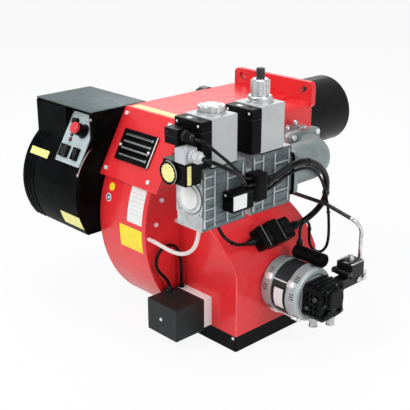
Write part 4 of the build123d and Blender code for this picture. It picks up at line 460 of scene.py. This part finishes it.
class Shape:
    """Solids gathered in one mesh, in mm."""

    def __init__(self):
        self.mesh = bmesh.new()

    def prism(self, outline, frame_matrix, depth, bevel=0.0):
        """An outline in the local xy plane, pushed along local z."""
        part = bmesh.new()
        face = part.faces.new([part.verts.new((x, y, 0)) for x, y in outline])
        moved = bmesh.ops.extrude_face_region(part, geom=[face])["geom"]
        bmesh.ops.translate(part, verts=[v for v in moved if isinstance(v, bmesh.types.BMVert)],
                            vec=(0, 0, depth))
        if bevel:
            rim = [e for e in part.edges if all(abs(v.co.z - depth) < 1e-6 for v in e.verts)]
            bmesh.ops.bevel(part, geom=rim, offset=bevel, segments=2, profile=0.5, affect="EDGES")
        return self.take(part, frame_matrix)

    def box(self, size, frame_matrix, bevel=0.4):
        """A box standing on the local xy plane, its edges bevelled."""
        part = bmesh.new()
        bmesh.ops.create_cube(part, size=1.0)
        bmesh.ops.scale(part, verts=part.verts, vec=size)
        bmesh.ops.translate(part, verts=part.verts, vec=(0, 0, size[2] / 2))
        bmesh.ops.bevel(part, geom=part.edges[:], offset=bevel, segments=2, profile=0.5, affect="EDGES")
        return self.take(part, frame_matrix)

    def lathe(self, profile, frame_matrix, count=32, waves=0, depth=0.0):
        """A profile of (radius, height) turned about local z, with waves round it if asked."""
        part = bmesh.new()
        rows = []
        for radius, height in profile:
            if radius < 1e-6:
                rows.append([part.verts.new((0, 0, height))])
            else:
                rows.append([part.verts.new(((radius + depth * cos(waves * a)) * cos(a),
                                             (radius + depth * cos(waves * a)) * sin(a), height))
                             for a in (2 * pi * i / count for i in range(count))])
        for low, high in zip(rows, rows[1:]):
            for i in range(count):
                j = (i + 1) % count
                corners = [low[i % len(low)], low[j % len(low)], high[j % len(high)], high[i % len(high)]]
                corners = [c for k, c in enumerate(corners) if c not in corners[:k]]
                if len(corners) > 2:
                    part.faces.new(corners)
        return self.take(part, frame_matrix)

    def tube(self, points, radius, count=10):
        """A round bar through points, turned square at its ends."""
        part = bmesh.new()
        rows = []
        points = [Vector(p) for p in points]
        for i, point in enumerate(points):
            along = (points[min(i + 1, len(points) - 1)] - points[max(i - 1, 0)]).normalized()
            side = (side - along * side.dot(along) if rows else along.orthogonal()).normalized()
            other = along.cross(side)
            rows.append([part.verts.new(point + radius * (cos(a) * side + sin(a) * other))
                         for a in (2 * pi * k / count for k in range(count))])
        for low, high in zip(rows, rows[1:]):
            for k in range(count):
                part.faces.new((low[k], low[(k + 1) % count], high[(k + 1) % count], high[k]))
        part.faces.new(rows[0])
        part.faces.new(rows[-1])
        return self.take(part, Matrix.Identity(4))

    def wrap(self, centre, radius, left, right, low, high, thickness=0.35, steps=14):
        """A thin plate bent round an axis along X, from one angle to another."""
        part = bmesh.new()
        rows = []
        for r in (radius - 0.3, radius + thickness):
            rows.append([[part.verts.new((x, centre[0] + r * cos(radians(low + (high - low) * i / steps)),
                                          centre[1] + r * sin(radians(low + (high - low) * i / steps))))
                          for x in (left, right)] for i in range(steps + 1)])
        inner, outer = rows
        for i in range(steps):
            part.faces.new((outer[i][0], outer[i][1], outer[i + 1][1], outer[i + 1][0]))
            part.faces.new((inner[i][0], inner[i + 1][0], inner[i + 1][1], inner[i][1]))
            for k in (0, 1):
                part.faces.new((inner[i][k], outer[i][k], outer[i + 1][k], inner[i + 1][k]))
        for i in (0, steps):
            part.faces.new((inner[i][0], inner[i][1], outer[i][1], outer[i][0]))
        return self.take(part, Matrix.Identity(4))

    def screw(self, origin, normal, radius, height=2.2):
        """A domed screw head with a recess, on a washer."""
        place_at = at(origin, (1, 0.01, 0.02) if abs(Vector(normal).x) < 0.9 else (0, 1, 0), normal)
        self.lathe([(0, -0.5), (radius * 1.35, -0.5), (radius * 1.35, 0.5), (radius, 0.6),
                    (radius, height * 0.6), (radius * 0.8, height * 0.9), (radius * 0.42, height),
                    (radius * 0.36, height * 0.45), (0, height * 0.45)], place_at, 24)
        return self

    def bolt(self, origin, normal, radius, height=4.0):
        """A hexagon head on a washer."""
        place_at = at(origin, (1, 0.3, 0.2), normal)
        self.lathe([(0, -0.5), (radius * 1.3, -0.5), (radius * 1.3, 0.8), (0, 0.8)], place_at, 24)
        self.prism(ring_of(radius, 6), place_at @ Matrix.Translation((0, 0, 0.7)), height, 0.5)
        return self

    def take(self, part, frame_matrix):
        """Moves a part to its place and adds it to the shape."""
        bmesh.ops.recalc_face_normals(part, faces=part.faces)
        part.transform(frame_matrix)
        held = bpy.data.meshes.new("held")
        part.to_mesh(held)
        self.mesh.from_mesh(held)
        part.free()
        bpy.data.meshes.remove(held)
        return self

    def place(self, name, look, slot_name, body="burner"):
        """Makes the gathered solids one piece that rides on a body."""
        self.mesh.transform(Matrix.Scale(MM, 4))
        mesh = bpy.data.meshes.new(name)
        self.mesh.to_mesh(mesh)
        self.mesh.free()
        mesh.materials.append(looks[look])
        mesh.polygons.foreach_set("use_smooth", [True] * len(mesh.polygons))
        mesh.set_sharp_from_angle(angle=radians(38))
        piece = bpy.data.objects.new(name, mesh)
        bpy.context.scene.collection.objects.link(piece)
        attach(piece, body)
        return piece


UP, DOWN, FRONT, BACK, RIGHT, LEFT = (0, 0, 1), (0, 0, -1), (0, -1, 0), (0, 1, 0), (1, 0, 0), (-1, 0, 0)


def toward_right(x, y, z):
    """Frame whose z runs along +X."""
    return at((x, y, z), BACK, RIGHT)


def toward_front(x, y, z):
    """Frame whose z runs along -Y."""
    return at((x, y, z), RIGHT, FRONT)


def toward_back(x, y, z):
    """Frame whose z runs along +Y."""
    return at((x, y, z), RIGHT, BACK)


def on_round(axis, radius, x, degrees):
    """Frame on a round surface about an axis along X, its z pointing out."""
    out = (0, cos(radians(degrees)), sin(radians(degrees)))
    return at((x, axis[0] + radius * out[1], axis[1] + radius * out[2]), RIGHT, out)


def origin_and_z(spot):
    """The origin and the z direction of a frame, as screw wants them."""
    return spot.to_translation(), spot.col[2].to_3d()


# Scroll and hood: each axis runs along X and is given by its y and z
FAN_AXIS, VOLUTE_RADIUS = (-168.0, -161.0), 242.0
NOSE_AXIS, NOSE_RADIUS = (-328.0, -111.0), 137.0

# Labels, all bare: the data plate and stickers on the scroll, and the plates on the hood and the ridge
Shape().wrap(FAN_AXIS, VOLUTE_RADIUS, -25, 21, 157.0, 175.0).place(
    "data_label", "label_white", "white_plastic")
rules = Shape()
for angle in (160.5, 162.5, 164.5, 166.5, 168.5, 170.5):
    rules.wrap(FAN_AXIS, VOLUTE_RADIUS + 0.1, -20, 16, angle, angle + 0.12, steps=1)
rules.place("data_label_rules", "ink_grey", "white_plastic")
Shape().wrap(FAN_AXIS, VOLUTE_RADIUS, -48, 22, 177.6, 189.0).place(
    "scroll_label", "label_yellow", "yellow_plastic")
for name, look, x, angle in (("round_label_1", "label_yellow", -84.5, 161.6),
                             ("round_label_2", "label_white", -89.5, 167.2)):
    spot = on_round(FAN_AXIS, VOLUTE_RADIUS, x, angle)
    Shape().lathe([(0, -0.6), (8.5, -0.6), (8.5, 0.3), (8.2, 0.4), (0, 0.4)], spot, 32).place(
        name, look, "white_plastic")
    if look == "label_white":
        Shape().lathe([(0, 0.2), (6.6, 0.2), (6.6, 0.5), (3.4, 0.5), (3.4, 0.2)], spot, 32).place(
            "round_label_ring", "label_blue", "white_plastic")
Shape().wrap(NOSE_AXIS, NOSE_RADIUS + 1.9, -302, -237, 146.2, 153.0).place(
    "hood_label", "label_pale", "yellow_plastic")
Shape().wrap(NOSE_AXIS, NOSE_RADIUS + 0.2, -186, -118.5, 195.5, 208.8).place(
    "hood_lower_label", "label_pale", "yellow_plastic")
Shape().prism(rounded(146, 20, 1), at((-35, -311, 67)), 0.4).place(
    "ridge_label", "label_pale", "yellow_plastic")

# Hood: the lid on its box, grey as painted sheen on the black top, the bright edge beside the panel, and
# screws
Shape().box((197, 143, 2.2), at((-218.5, -345.5, 66.2)), 0.9).place(
    "hood_lid_sheen", "hood_lid_sheen", "black_plastic")
Shape().wrap(NOSE_AXIS, NOSE_RADIUS + 0.2, -123.6, -121.0, 129.5, 157.0, thickness=1.4).place(
    "hood_edge_trim", "chrome", "bright_steel")
hood_screws = Shape()
hood_screws.screw((-121.6, -417, 52), FRONT, 2.2)
hood_screws.screw(*origin_and_z(on_round(NOSE_AXIS, NOSE_RADIUS, -124.5, 157)), 2.6)
for y, z in ((-300, -30), (-300, -150), (-215, -60)):
    hood_screws.screw((-317, y, z), LEFT, 3.2)
hood_screws.place("hood_screws", "steel", "galvanised")

# Control panel: bezels, marks beside the switches, and the fuse cap with its slot
PANEL_TILT = radians(30)
PANEL = at((-165, -449, -47), RIGHT, (0, -cos(PANEL_TILT), sin(PANEL_TILT)))
PLATE = 3
FUSE, RESET = (-22, 92), (12, 77)


def on_panel(x, y, height=PLATE):
    """Frame on the panel: right and up along it, and out from it, with the plate's face at PLATE."""
    return PANEL @ Matrix.Translation((x, y, height))


bezels = Shape()
for x, y in ((-22, 75), (-21, 64), (-20, 53)):
    bezels.lathe([(3.3, 0), (5.0, 0), (5.0, 1.2), (4.2, 2.2), (3.3, 2.2)], on_panel(x, y), 28)
bezels.lathe([(6.1, 0), (8.2, 0), (8.2, 1.5), (7.4, 2.6), (6.1, 2.6)], on_panel(*FUSE), 32)
bezels.lathe([(13.1, 0), (15.5, 0), (15.5, 2.0), (14.6, 3.0), (13.1, 3.0)], on_panel(*RESET), 40)
bezels.prism(ring_of(6.4, 24), on_panel(*FUSE, 12), 0.9, 0.4)
bezels.box((1.2, 9, 1.3), on_panel(*FUSE, 12.4), 0.2)
bezels.place("panel_bezels", "gloss_black", "black_plastic")
marks = Shape()
for x, y, width, height in (
        (-25.5, 44, 12, 0.8), (12.5, 44, 8, 0.8), (-39.5, 27, 0.8, 7), (26.5, 27, 0.8, 7),
        (-36.5, 75, 3, 0.8), (-36.5, 64, 3, 0.8), (-36.5, 53, 3, 0.8), (8.5, 98, 14, 0.8)):
    corners = [(sx * width / 2, sy * height / 2) for sx, sy in ((-1, -1), (1, -1), (1, 1), (-1, 1))]
    marks.prism(corners, on_panel(x, y, PLATE - 0.1), 0.18)
marks.place("panel_marks", "ink_grey", "grey_panel")
panel_screws = Shape()
for x in (-41, 34):
    for y in (6, 110):
        panel_screws.screw(*origin_and_z(on_panel(x, y)), 1.9, 1.4)
panel_screws.place("panel_screws", "steel", "bright_steel")

# Louvre on the cover's slanted sheet: grey bars and pins on the blades as painted glints, a dark plate behind
# as painted shade in the opening, and bright trim with a white rod along the right edge as a painted
# highlight
SLOPE_UP = Vector((0, 73.0, 128.0)).normalized()
SLOPE_OUT = Vector((0, -SLOPE_UP.z, SLOPE_UP.y))
LOUVRE_X, LOUVRE_DOWN = -39, 77
BLADE_TOP, BLADE_PITCH = 55.5, 14.2


def slope_point(x, down, out):
    """Point down from the ridge along the slanted sheet, and out from its face."""
    return Vector((x, -328, 67)) - SLOPE_UP * down + SLOPE_OUT * out


def on_slope(x, down, out):
    """Frame at such a point, its z pointing out from the sheet."""
    return at(slope_point(x, down, out), RIGHT, SLOPE_OUT)


edges = Shape()
# grey bars along the blades and pins at their ends: painted glints of light on the black blades
for blade in range(4):
    down = BLADE_TOP + BLADE_PITCH * blade
    edges.box((84, 4.4, 1.4), at(slope_point(LOUVRE_X, down, 3.4), RIGHT, SLOPE_OUT + 0.5 * SLOPE_UP), 0.5)
    edges.lathe([(0, 0), (3.0, 0), (3.0, 1.6), (2.0, 2.6), (0, 2.6)], on_slope(LOUVRE_X + 41, down, 3.8), 18)
edges.place("louvre_edge_glints", "louvre_glint_grey", "grey_plastic")
shade_plate = Shape()
# a black plate under the louvre's opening, painted shade where the housing would show through
shade_plate.box((95, 57, 0.6), on_slope(LOUVRE_X, LOUVRE_DOWN, -3.4), 0.2)
shade_plate.box((4, 57, 3.2), on_slope(LOUVRE_X - 44, LOUVRE_DOWN, -3.4), 0.2)
shade_plate.place("louvre_shade_plate", "black_plastic", "black_plastic")
trim = Shape()
# the white rod along the frame's right edge is a painted highlight on that edge; the two small boxes are the
# louvre's trim
trim.tube([slope_point(12.2, 45, 3.6), slope_point(12.2, 109, 3.6)], 1.3, 8)
for x in (-86, 2):
    trim.box((6, 5, 1.6), on_slope(x, LOUVRE_DOWN + 2, 3.8), 0.6)
trim.place("louvre_trim_and_highlight", "label_white", "white_plastic")

# Gas train along Y: both valves, coil blocks and terminal covers share the middle at VALVE_X
VALVE_X, INLET_Z, VALVE_SIDE = 198, -23, 233.4
VALVE_FRONTS, COIL_MIDDLES, COVER_FRONTS = (-440, -315), (-388, -263), (-445, -320)
VALVE_FLOOR, COIL_TOP = -75, 121.6

# Valve bodies: ladder ribs on their sides, the ring and bolts round the inlet, and gaskets
ribs = Shape()
for front in VALVE_FRONTS:
    for y in (1.6, 26, 58, 97):
        ribs.box((4.4, 2.2, 104), at((VALVE_SIDE, front + y, VALVE_FLOOR)), 0.7)
    for z in (19, -1, -21, -41, -61):
        ribs.box((4.0, 24, 1.9), at((VALVE_SIDE, front + 13.8, z)), 0.6)
    for z in (6, -50):
        ribs.box((4.0, 38, 1.9), at((VALVE_SIDE, front + 78, z)), 0.6)
ribs.place("valve_ribs", "rib_casting", "cast_aluminium")
inlet = toward_front(VALVE_X, VALVE_FRONTS[0], INLET_Z)
Shape().lathe([(22.6, 0), (30.5, 0), (30.5, 1.6), (29.3, 2.8), (24.2, 2.8), (22.6, 1.6)], inlet, 56).place(
    "inlet_ring", "rib_casting", "cast_aluminium")
gaps = Shape()
for inner, outer in ((20.3, 22.6), (30.5, 31.9)):
    gaps.lathe([(inner, 0), (outer, 0), (outer, 0.5), (inner, 0.5)], inlet, 56)
gaps.place("inlet_ring_gaps", "gloss_black", "black_rubber")
inlet_bolts = Shape()
for x in (-27, 27):
    for z in (-27, 27):
        inlet_bolts.lathe([(0, -2), (4.6, -2), (4.6, 1.2), (4.0, 1.8), (2.2, 1.8), (2.0, 0.2), (0, 0.2)],
                          toward_front(VALVE_X + x, VALVE_FRONTS[0], INLET_Z + z), 24)
inlet_bolts.place("inlet_bolts", "galvanised", "galvanised")
gaskets = Shape()
for y in COIL_MIDDLES:
    gaskets.prism(rounded(71.4, 65.4, 3.4), at((VALVE_X, y, 32.9)), 2.0)
gaskets.prism(rounded(86, 86, 8), toward_back(VALVE_X, -208.9, INLET_Z), 1.4)
gaskets.place("gaskets", "black_plastic", "black_plastic")

# Terminal covers, pressure switch and leak tester: screws, bare labels and the seams of their lids
cover_screws = Shape()
for y in COVER_FRONTS:
    for x in (-27, 27):
        cover_screws.screw((VALVE_X + x, y, 112.5), FRONT, 1.8, 1.4)
cover_screws.screw((240.5, -393.5, -20.5), FRONT, 1.7, 1.4)
cover_screws.place("cover_screws", "label_white", "white_plastic")
cover_labels = Shape()
for y in COVER_FRONTS:
    cover_labels.prism(rounded(12, 8, 0.8), at((VALVE_X - 8, y + 12, 120)), 0.35)
cover_labels.place("cover_labels", "label_white", "white_plastic")
seams = Shape()
for y in COVER_FRONTS:
    seams.box((70.8, 25.4, 1.2), at((VALVE_X, y + 12.4, 100)), 0.3)
seams.box((61.6, 38, 1.0), at((204.5, -464.2, 46.5)), 0.3)
seams.box((24.6, 55.6, 1.0), at((246.5, -366, -21)), 0.3)
seams.place("box_seams", "gloss_black", "black_plastic")

# Coil blocks: the first one's cap, the collars of both, and the ribs of the flow adjuster's knob
caps = Shape()
caps.lathe([(0, 0), (19.5, 0), (19.5, 1.4), (17.5, 2.4), (8, 1.4), (0, 1.4)],
           at((VALVE_X, COIL_MIDDLES[0], 135.8)), 44)
caps.lathe([(24.6, 0), (26.4, 0), (26.4, 3.2), (24.6, 4.0)], at((VALVE_X, COIL_MIDDLES[0], COIL_TOP)), 48)
caps.lathe([(23.2, 0), (25.4, 0), (25.4, 4.2), (23.2, 5.0)], at((VALVE_X, COIL_MIDDLES[1], COIL_TOP)), 48)
caps.place("cap_trim", "turned_silver", "cast_aluminium")
knob = Shape()
for dx, dy in ring_of(16.6, 14):
    x, y = VALVE_X + dx, COIL_MIDDLES[1] + dy
    knob.tube([(x, y, 136), (x, y, 161.5)], 1.7, 8)
knob.place("knob_ribs", "turned_silver", "cast_aluminium", "adjuster")

# Pressure switch: its bare label, the dial's rim and teeth, and the dial's hub with its pointer
DIAL_X, DIAL_Z, RIM_FRONT = 196, 33, -488.3
Shape().prism(rounded(9, 34, 0.8), toward_right(235.2, -475.5, 33.5), 0.4).place(
    "switch_label", "label_pale", "yellow_plastic")
Shape().lathe([(18.2, 0), (21.2, 0), (21.2, 1.0), (20.4, 1.5), (18.2, 1.5)],
              toward_front(DIAL_X, RIM_FRONT, DIAL_Z), 48).place("dial_rim", "white_plastic", "white_plastic")
teeth = Shape()
for dx, dz in ring_of(17.4, 14):
    teeth.box((2.8, 2.6, 0.8), at((DIAL_X + dx, RIM_FRONT - 0.6, DIAL_Z + dz), (dx, 0, dz), FRONT), 0.3)
teeth.place("dial_teeth", "gloss_black", "black_plastic")
pointer = Shape()
pointer.lathe([(0, 0), (4.2, 0), (4.2, 0.5), (3.4, 0.8), (0, 0.8)],
              toward_front(DIAL_X, RIM_FRONT - 0.8, DIAL_Z), 24)
pointer.box((1.2, 9, 0.6), toward_front(DIAL_X, RIM_FRONT - 0.8, DIAL_Z + 8), 0.15)
pointer.place("dial_pointer", "dial_yellow", "yellow_plastic", "dial")

# Plugs of the pressure switch and of the coil, each with its seam, screw, grooved nut and gland
PLUG_Y, PLUG_Z = -469, 68
COIL_PLUG_Y, COIL_PLUG_Z = -459, 95
plug = Shape()
plug.box((28.4, 30, 1.6), at((220, PLUG_Y, PLUG_Z + 3)), 0.5)
plug.screw((220, PLUG_Y, PLUG_Z + 11), UP, 2.6)
plug.lathe([(9.4, 0), (10.6, 0.6), (10.6, 6.5), (9.4, 7.2)], toward_right(236, PLUG_Y, PLUG_Z), 56,
           waves=14, depth=0.6)
plug.lathe([(4.4, 0), (8.0, 0), (7.4, 4.0), (5.6, 8.0), (4.4, 9.5)], toward_right(254, PLUG_Y, PLUG_Z), 28)
plug.place("din_details", "grey_plastic", "grey_plastic")
coil_plug = Shape()
coil_plug.box((34, 29, 1.4), at((186.5, COIL_PLUG_Y, COIL_PLUG_Z - 2.6)), 0.4)
coil_plug.lathe([(9.3, 0), (10.4, 0.6), (10.4, 6), (9.3, 6.6)], toward_right(206, COIL_PLUG_Y, COIL_PLUG_Z),
                48, waves=12, depth=0.6)
coil_plug.lathe([(4.0, 0), (7.6, 0), (7.0, 3.5), (5.0, 7), (4.0, 8)],
                toward_right(223, COIL_PLUG_Y, COIL_PLUG_Z), 24)
coil_plug.screw((178, COIL_PLUG_Y - 14, COIL_PLUG_Z + 5), FRONT, 2.2)
coil_plug.place("coil_plug_details", "gloss_black", "black_plastic")
Shape().prism(rounded(34, 27, 1), toward_right(258.5, -374, -33.5), 0.45).place(
    "tester_label", "label_white", "white_plastic")

# Pump motor: clamps and tie rods, rims, a black ring in the front recess as painted shade, vents, stator
# ridges and the bare label
MOTOR_AXIS, ROD_CIRCLE = (-194, -266), 57.6
clamps, rods = Shape(), Shape()
for turn in (57, 147, 237, 327):
    out = Vector((0, cos(radians(turn)), sin(radians(turn))))
    for x in (217, 273):
        clamps.box((15, 14, 9.0), on_round(MOTOR_AXIS, 52.5, x, turn), 1.2)
    rods.tube([Vector((x, *MOTOR_AXIS)) + out * ROD_CIRCLE for x in (208, 282)], 1.7, 10)
    for x, way in ((209, LEFT), (281, RIGHT)):
        rods.prism(ring_of(3.6, 6), at(Vector((x, *MOTOR_AXIS)) + out * ROD_CIRCLE, out, way), 3.6, 0.4)
clamps.place("motor_lugs", "bright_clamp", "cast_aluminium")
rods.place("motor_tie_rods", "bright_clamp", "bright_steel")
rims = Shape()
for x in (221.6, 264.6):
    rims.lathe([(54.6, 0), (57.0, 0), (57.0, 2.0), (54.6, 2.0)], toward_right(x, *MOTOR_AXIS), 72)
rims.lathe([(39.4, 0), (42.0, 0), (42.0, 1.4), (39.4, 1.4)], toward_right(291.2, *MOTOR_AXIS), 64)
rims.place("bell_rims", "motor_silver", "cast_aluminium")
# a flat black ring in the front bell's recess, painted shade between the rim and the inner ring
Shape().lathe([(42.2, 0), (50.0, 0), (50.0, 0.5), (42.2, 0.5)], toward_right(291.1, *MOTOR_AXIS), 64).place(
    "bell_recess_shade", "gloss_black", "stator_black")
vents = Shape()
for start in (128, 166, -140, 40, 75, -60):
    for step in range(3):
        for x in (211, 279):
            vents.box((11, 1.7, 0.5), on_round(MOTOR_AXIS, 55.9, x, start + 5 * step), 0.15)
vents.place("bell_vents", "gloss_black", "stator_black")
ridges = Shape()
for step in range(9):
    ridges.lathe([(53.6, 0), (54.7, 0.3), (54.7, 2.3), (53.6, 2.6)],
                 toward_right(226.2 + 4.3 * step, *MOTOR_AXIS), 72)
ridges.place("stator_laminations", "stator_grey", "stator_black")
Shape().wrap(MOTOR_AXIS, 55.6, 234, 257, 163, 208).place("motor_label", "label_white", "white_plastic")
Shape().wrap(MOTOR_AXIS, 55.2, 231.5, 259.5, 160, 211).place(
    "motor_label_frame", "gloss_black", "black_plastic")

# Oil pump: fins on its sides and top, the round cover with its bolts, plugs, and rings on the fittings
PUMP_COVER = Vector((338, -194, -256))
castings = Shape()
for side in (-36.5, 36.5):
    for z in (-24, -12, 0, 12, 24):
        castings.box((42, 3.0, 3.2), at((315, MOTOR_AXIS[0] + side, MOTOR_AXIS[1] + z)), 0.8)
for x in (300, 311, 322, 333):
    castings.box((3.2, 60, 3.4), at((x, MOTOR_AXIS[0], -231.5)), 0.9)
castings.lathe([(0, 0), (25.5, 0), (25.5, 3.2), (23.5, 5.0), (17, 5.0), (15.5, 3.6), (0, 3.6)],
               toward_right(*PUMP_COVER), 48)
castings.lathe([(0, 0), (9, 0), (9, 5), (7.6, 6.4), (0, 6.4)], toward_right(338, -206, -287), 24)
castings.place("pump_castings", "pump_black", "pump_black")
pump_bolts = Shape()
for dy, dz in ring_of(27.4, 6, 0.3):
    pump_bolts.bolt(PUMP_COVER + Vector((0.6, dy, dz)), RIGHT, 3.0, 3.2)
pump_bolts.place("pump_bolts", "pump_bolt", "pump_black")
plugs = Shape()
plugs.prism(ring_of(6.0, 6), toward_front(325, -230, -252), 5.0, 0.8)
plugs.prism(ring_of(5.0, 6), toward_front(306, -230, -276), 4.0, 0.6)
plugs.prism(ring_of(4.4, 6), toward_right(342, -170, -288), 3.0, 0.6)
plugs.place("pump_plugs", "pump_bolt", "pump_black")
fitting_rings = Shape()
for x, y in ((306, -210), (324, -180)):
    fitting_rings.lathe([(5.4, 0), (9.2, 0), (9.2, 2.2), (8.4, 3.0), (5.4, 3.0)], at((x, y, -324)), 28)
    fitting_rings.lathe([(10.3, 0), (11.6, 0.4), (11.6, 1.6), (10.3, 2.0)], at((x, y, -304.5)), 28)
fitting_rings.place("fitting_rings", "chrome", "galvanised")

# Solenoid valve: the yoke round its coil, its nut, and the unions of the oil pipe
yoke = Shape()
yoke.box((30, 42.4, 1.8), at((318, -116, -207.2)), 0.5)
yoke.box((42.4, 16, 10), at((318, -142, -228)), 1.4)
yoke.place("solenoid_yoke", "gloss_black", "black_plastic")
unions = Shape()
unions.prism(ring_of(7.0, 6), at((318, -86, -229)), 9.0, 0.9)
unions.lathe([(0, 0), (5.2, 0), (5.2, 3), (4.0, 4.4), (0, 4.4)], at((318, -116, -198.6)), 24)
unions.prism(ring_of(6.4, 6), toward_right(330, -88, -246), 6.0, 0.8)
unions.prism(ring_of(6.4, 6), toward_back(318, -76.4, -246), 5.0, 0.8)
unions.prism(ring_of(6.0, 6), toward_right(330, -106, -246), 5.0, 0.8)
unions.place("pipe_unions", "chrome", "galvanised")

# Small screws: one in the front of the ignition transformer, and one in the front of the plinth
small_screws = Shape()
small_screws.screw((84.4, -417, -319), FRONT, 2.6)
small_screws.screw((190, -318, -358), FRONT, 2.4)
small_screws.place("small_screws", "label_white", "bright_steel")

# Tapered boots where the cables leave their glands, as (cable, its end, way, profile, sides)
boots = Shape()
for name, end, way, profile, sides in (
        ("ignition_cable", 0, UP, [(3.6, 0), (8, 0), (8, 2.5), (6.2, 4.5), (4.8, 11), (3.6, 12)], 28),
        ("ignition_cable", -1, UP, [(3.6, 0), (6.5, 0), (6.5, 2.0), (5.0, 8), (3.6, 9)], 28),
        ("motor_cable", -1, UP, [(3.1, 0), (7, 0), (6.4, 3), (4.4, 9), (3.1, 10)], 24),
        ("valve_cable", -1, DOWN, [(3.6, 0), (7.6, 0), (6.8, 4), (4.8, 12), (3.6, 13)], 24),
        ("main_cable", 0, BACK, [(6.6, 0), (10.4, 0), (9.6, 6), (8.0, 20), (6.6, 22)], 32),
        ("main_cable", -1, BACK, [(6.6, 0), (9.4, 0), (9.0, 4), (7.8, 22), (6.6, 24)], 32),
        ("valve_cable", 0, FRONT, [(3.6, 0), (8.6, 0), (7.6, 5), (5.0, 15), (3.6, 16)], 28)):
    boots.lathe(profile, at(routes[name][3][end], RIGHT, way), sides)
boots.place("cable_boots", "rubber", "black_rubber")

# Bare label on the ignition transformer
Shape().prism(rounded(12, 44, 1), toward_right(128, -330, -321), 0.3).place(
    "transformer_label", "label_white", "white_plastic")

# Connector on the cabinet's arched roof: the seams of its halves and the ribs of its grips
ROOF_TURN = radians(42.7)
SEAT = at((168, -193.5, -178.1), BACK, (cos(ROOF_TURN), 0, sin(ROOF_TURN)))
halves = Shape()
for along in (-33, 12):
    halves.box((1.0, 44.5, 29.0), SEAT @ Matrix.Translation((along, 0, 0.2)), 0.3)
halves.place("connector_seams", "ink_grey", "black_plastic")
grips = Shape()
for along in (-26, -21, 22, 27, 32, 37):
    grips.box((2.2, 30, 1.4), SEAT @ Matrix.Translation((along, 0, 27.6)), 0.4)
for side in (-23.5, 23.5):
    grips.box((60, 3, 8), SEAT @ Matrix.Translation((0, side, 10)), 1.0)
grips.place("connector_grips", "gloss_black", "black_plastic")

# Throttle: the ring round its test nipple, and a bolt head over the shaft's boss
throttle = Shape()
throttle.lathe([(3.2, 0), (4.6, 0), (4.6, 6), (3.8, 7.2), (3.2, 7.2)], at((130, -104, 22)), 24)
throttle.bolt((130, -80, 36.0), UP, 4.0, 2.2)
throttle.place("throttle_details", "chrome", "bright_steel")

# Ties round the cables, each midway between a route point and the next
ties = Shape()
for name, after in (("main_cable", 4), ("main_cable", 8), ("motor_cable", 9), ("motor_cable", 17),
                    ("valve_cable", 3), ("coil_cable", 5), ("switch_cable", 5)):
    radius, _, _, points = routes[name]
    first, second = Vector(points[after]), Vector(points[after + 1])
    ties.lathe([(radius + 0.1, -2), (radius + 1.2, -2), (radius + 1.2, 2), (radius + 0.1, 2)],
               at((first + second) / 2, (1, 0.2, 0), second - first), 24)
ties.place("cable_ties", "gloss_black", "black_rubber")

# Cabinet: a light red bead at its near corner, a painted highlight of the rolled fold
Shape().tube([(197.4, -317.4, -351), (197.4, -317.4, -222)], 1.3, 10).place(
    "base_fold_highlight", "fold_highlight_red", "red_paint")
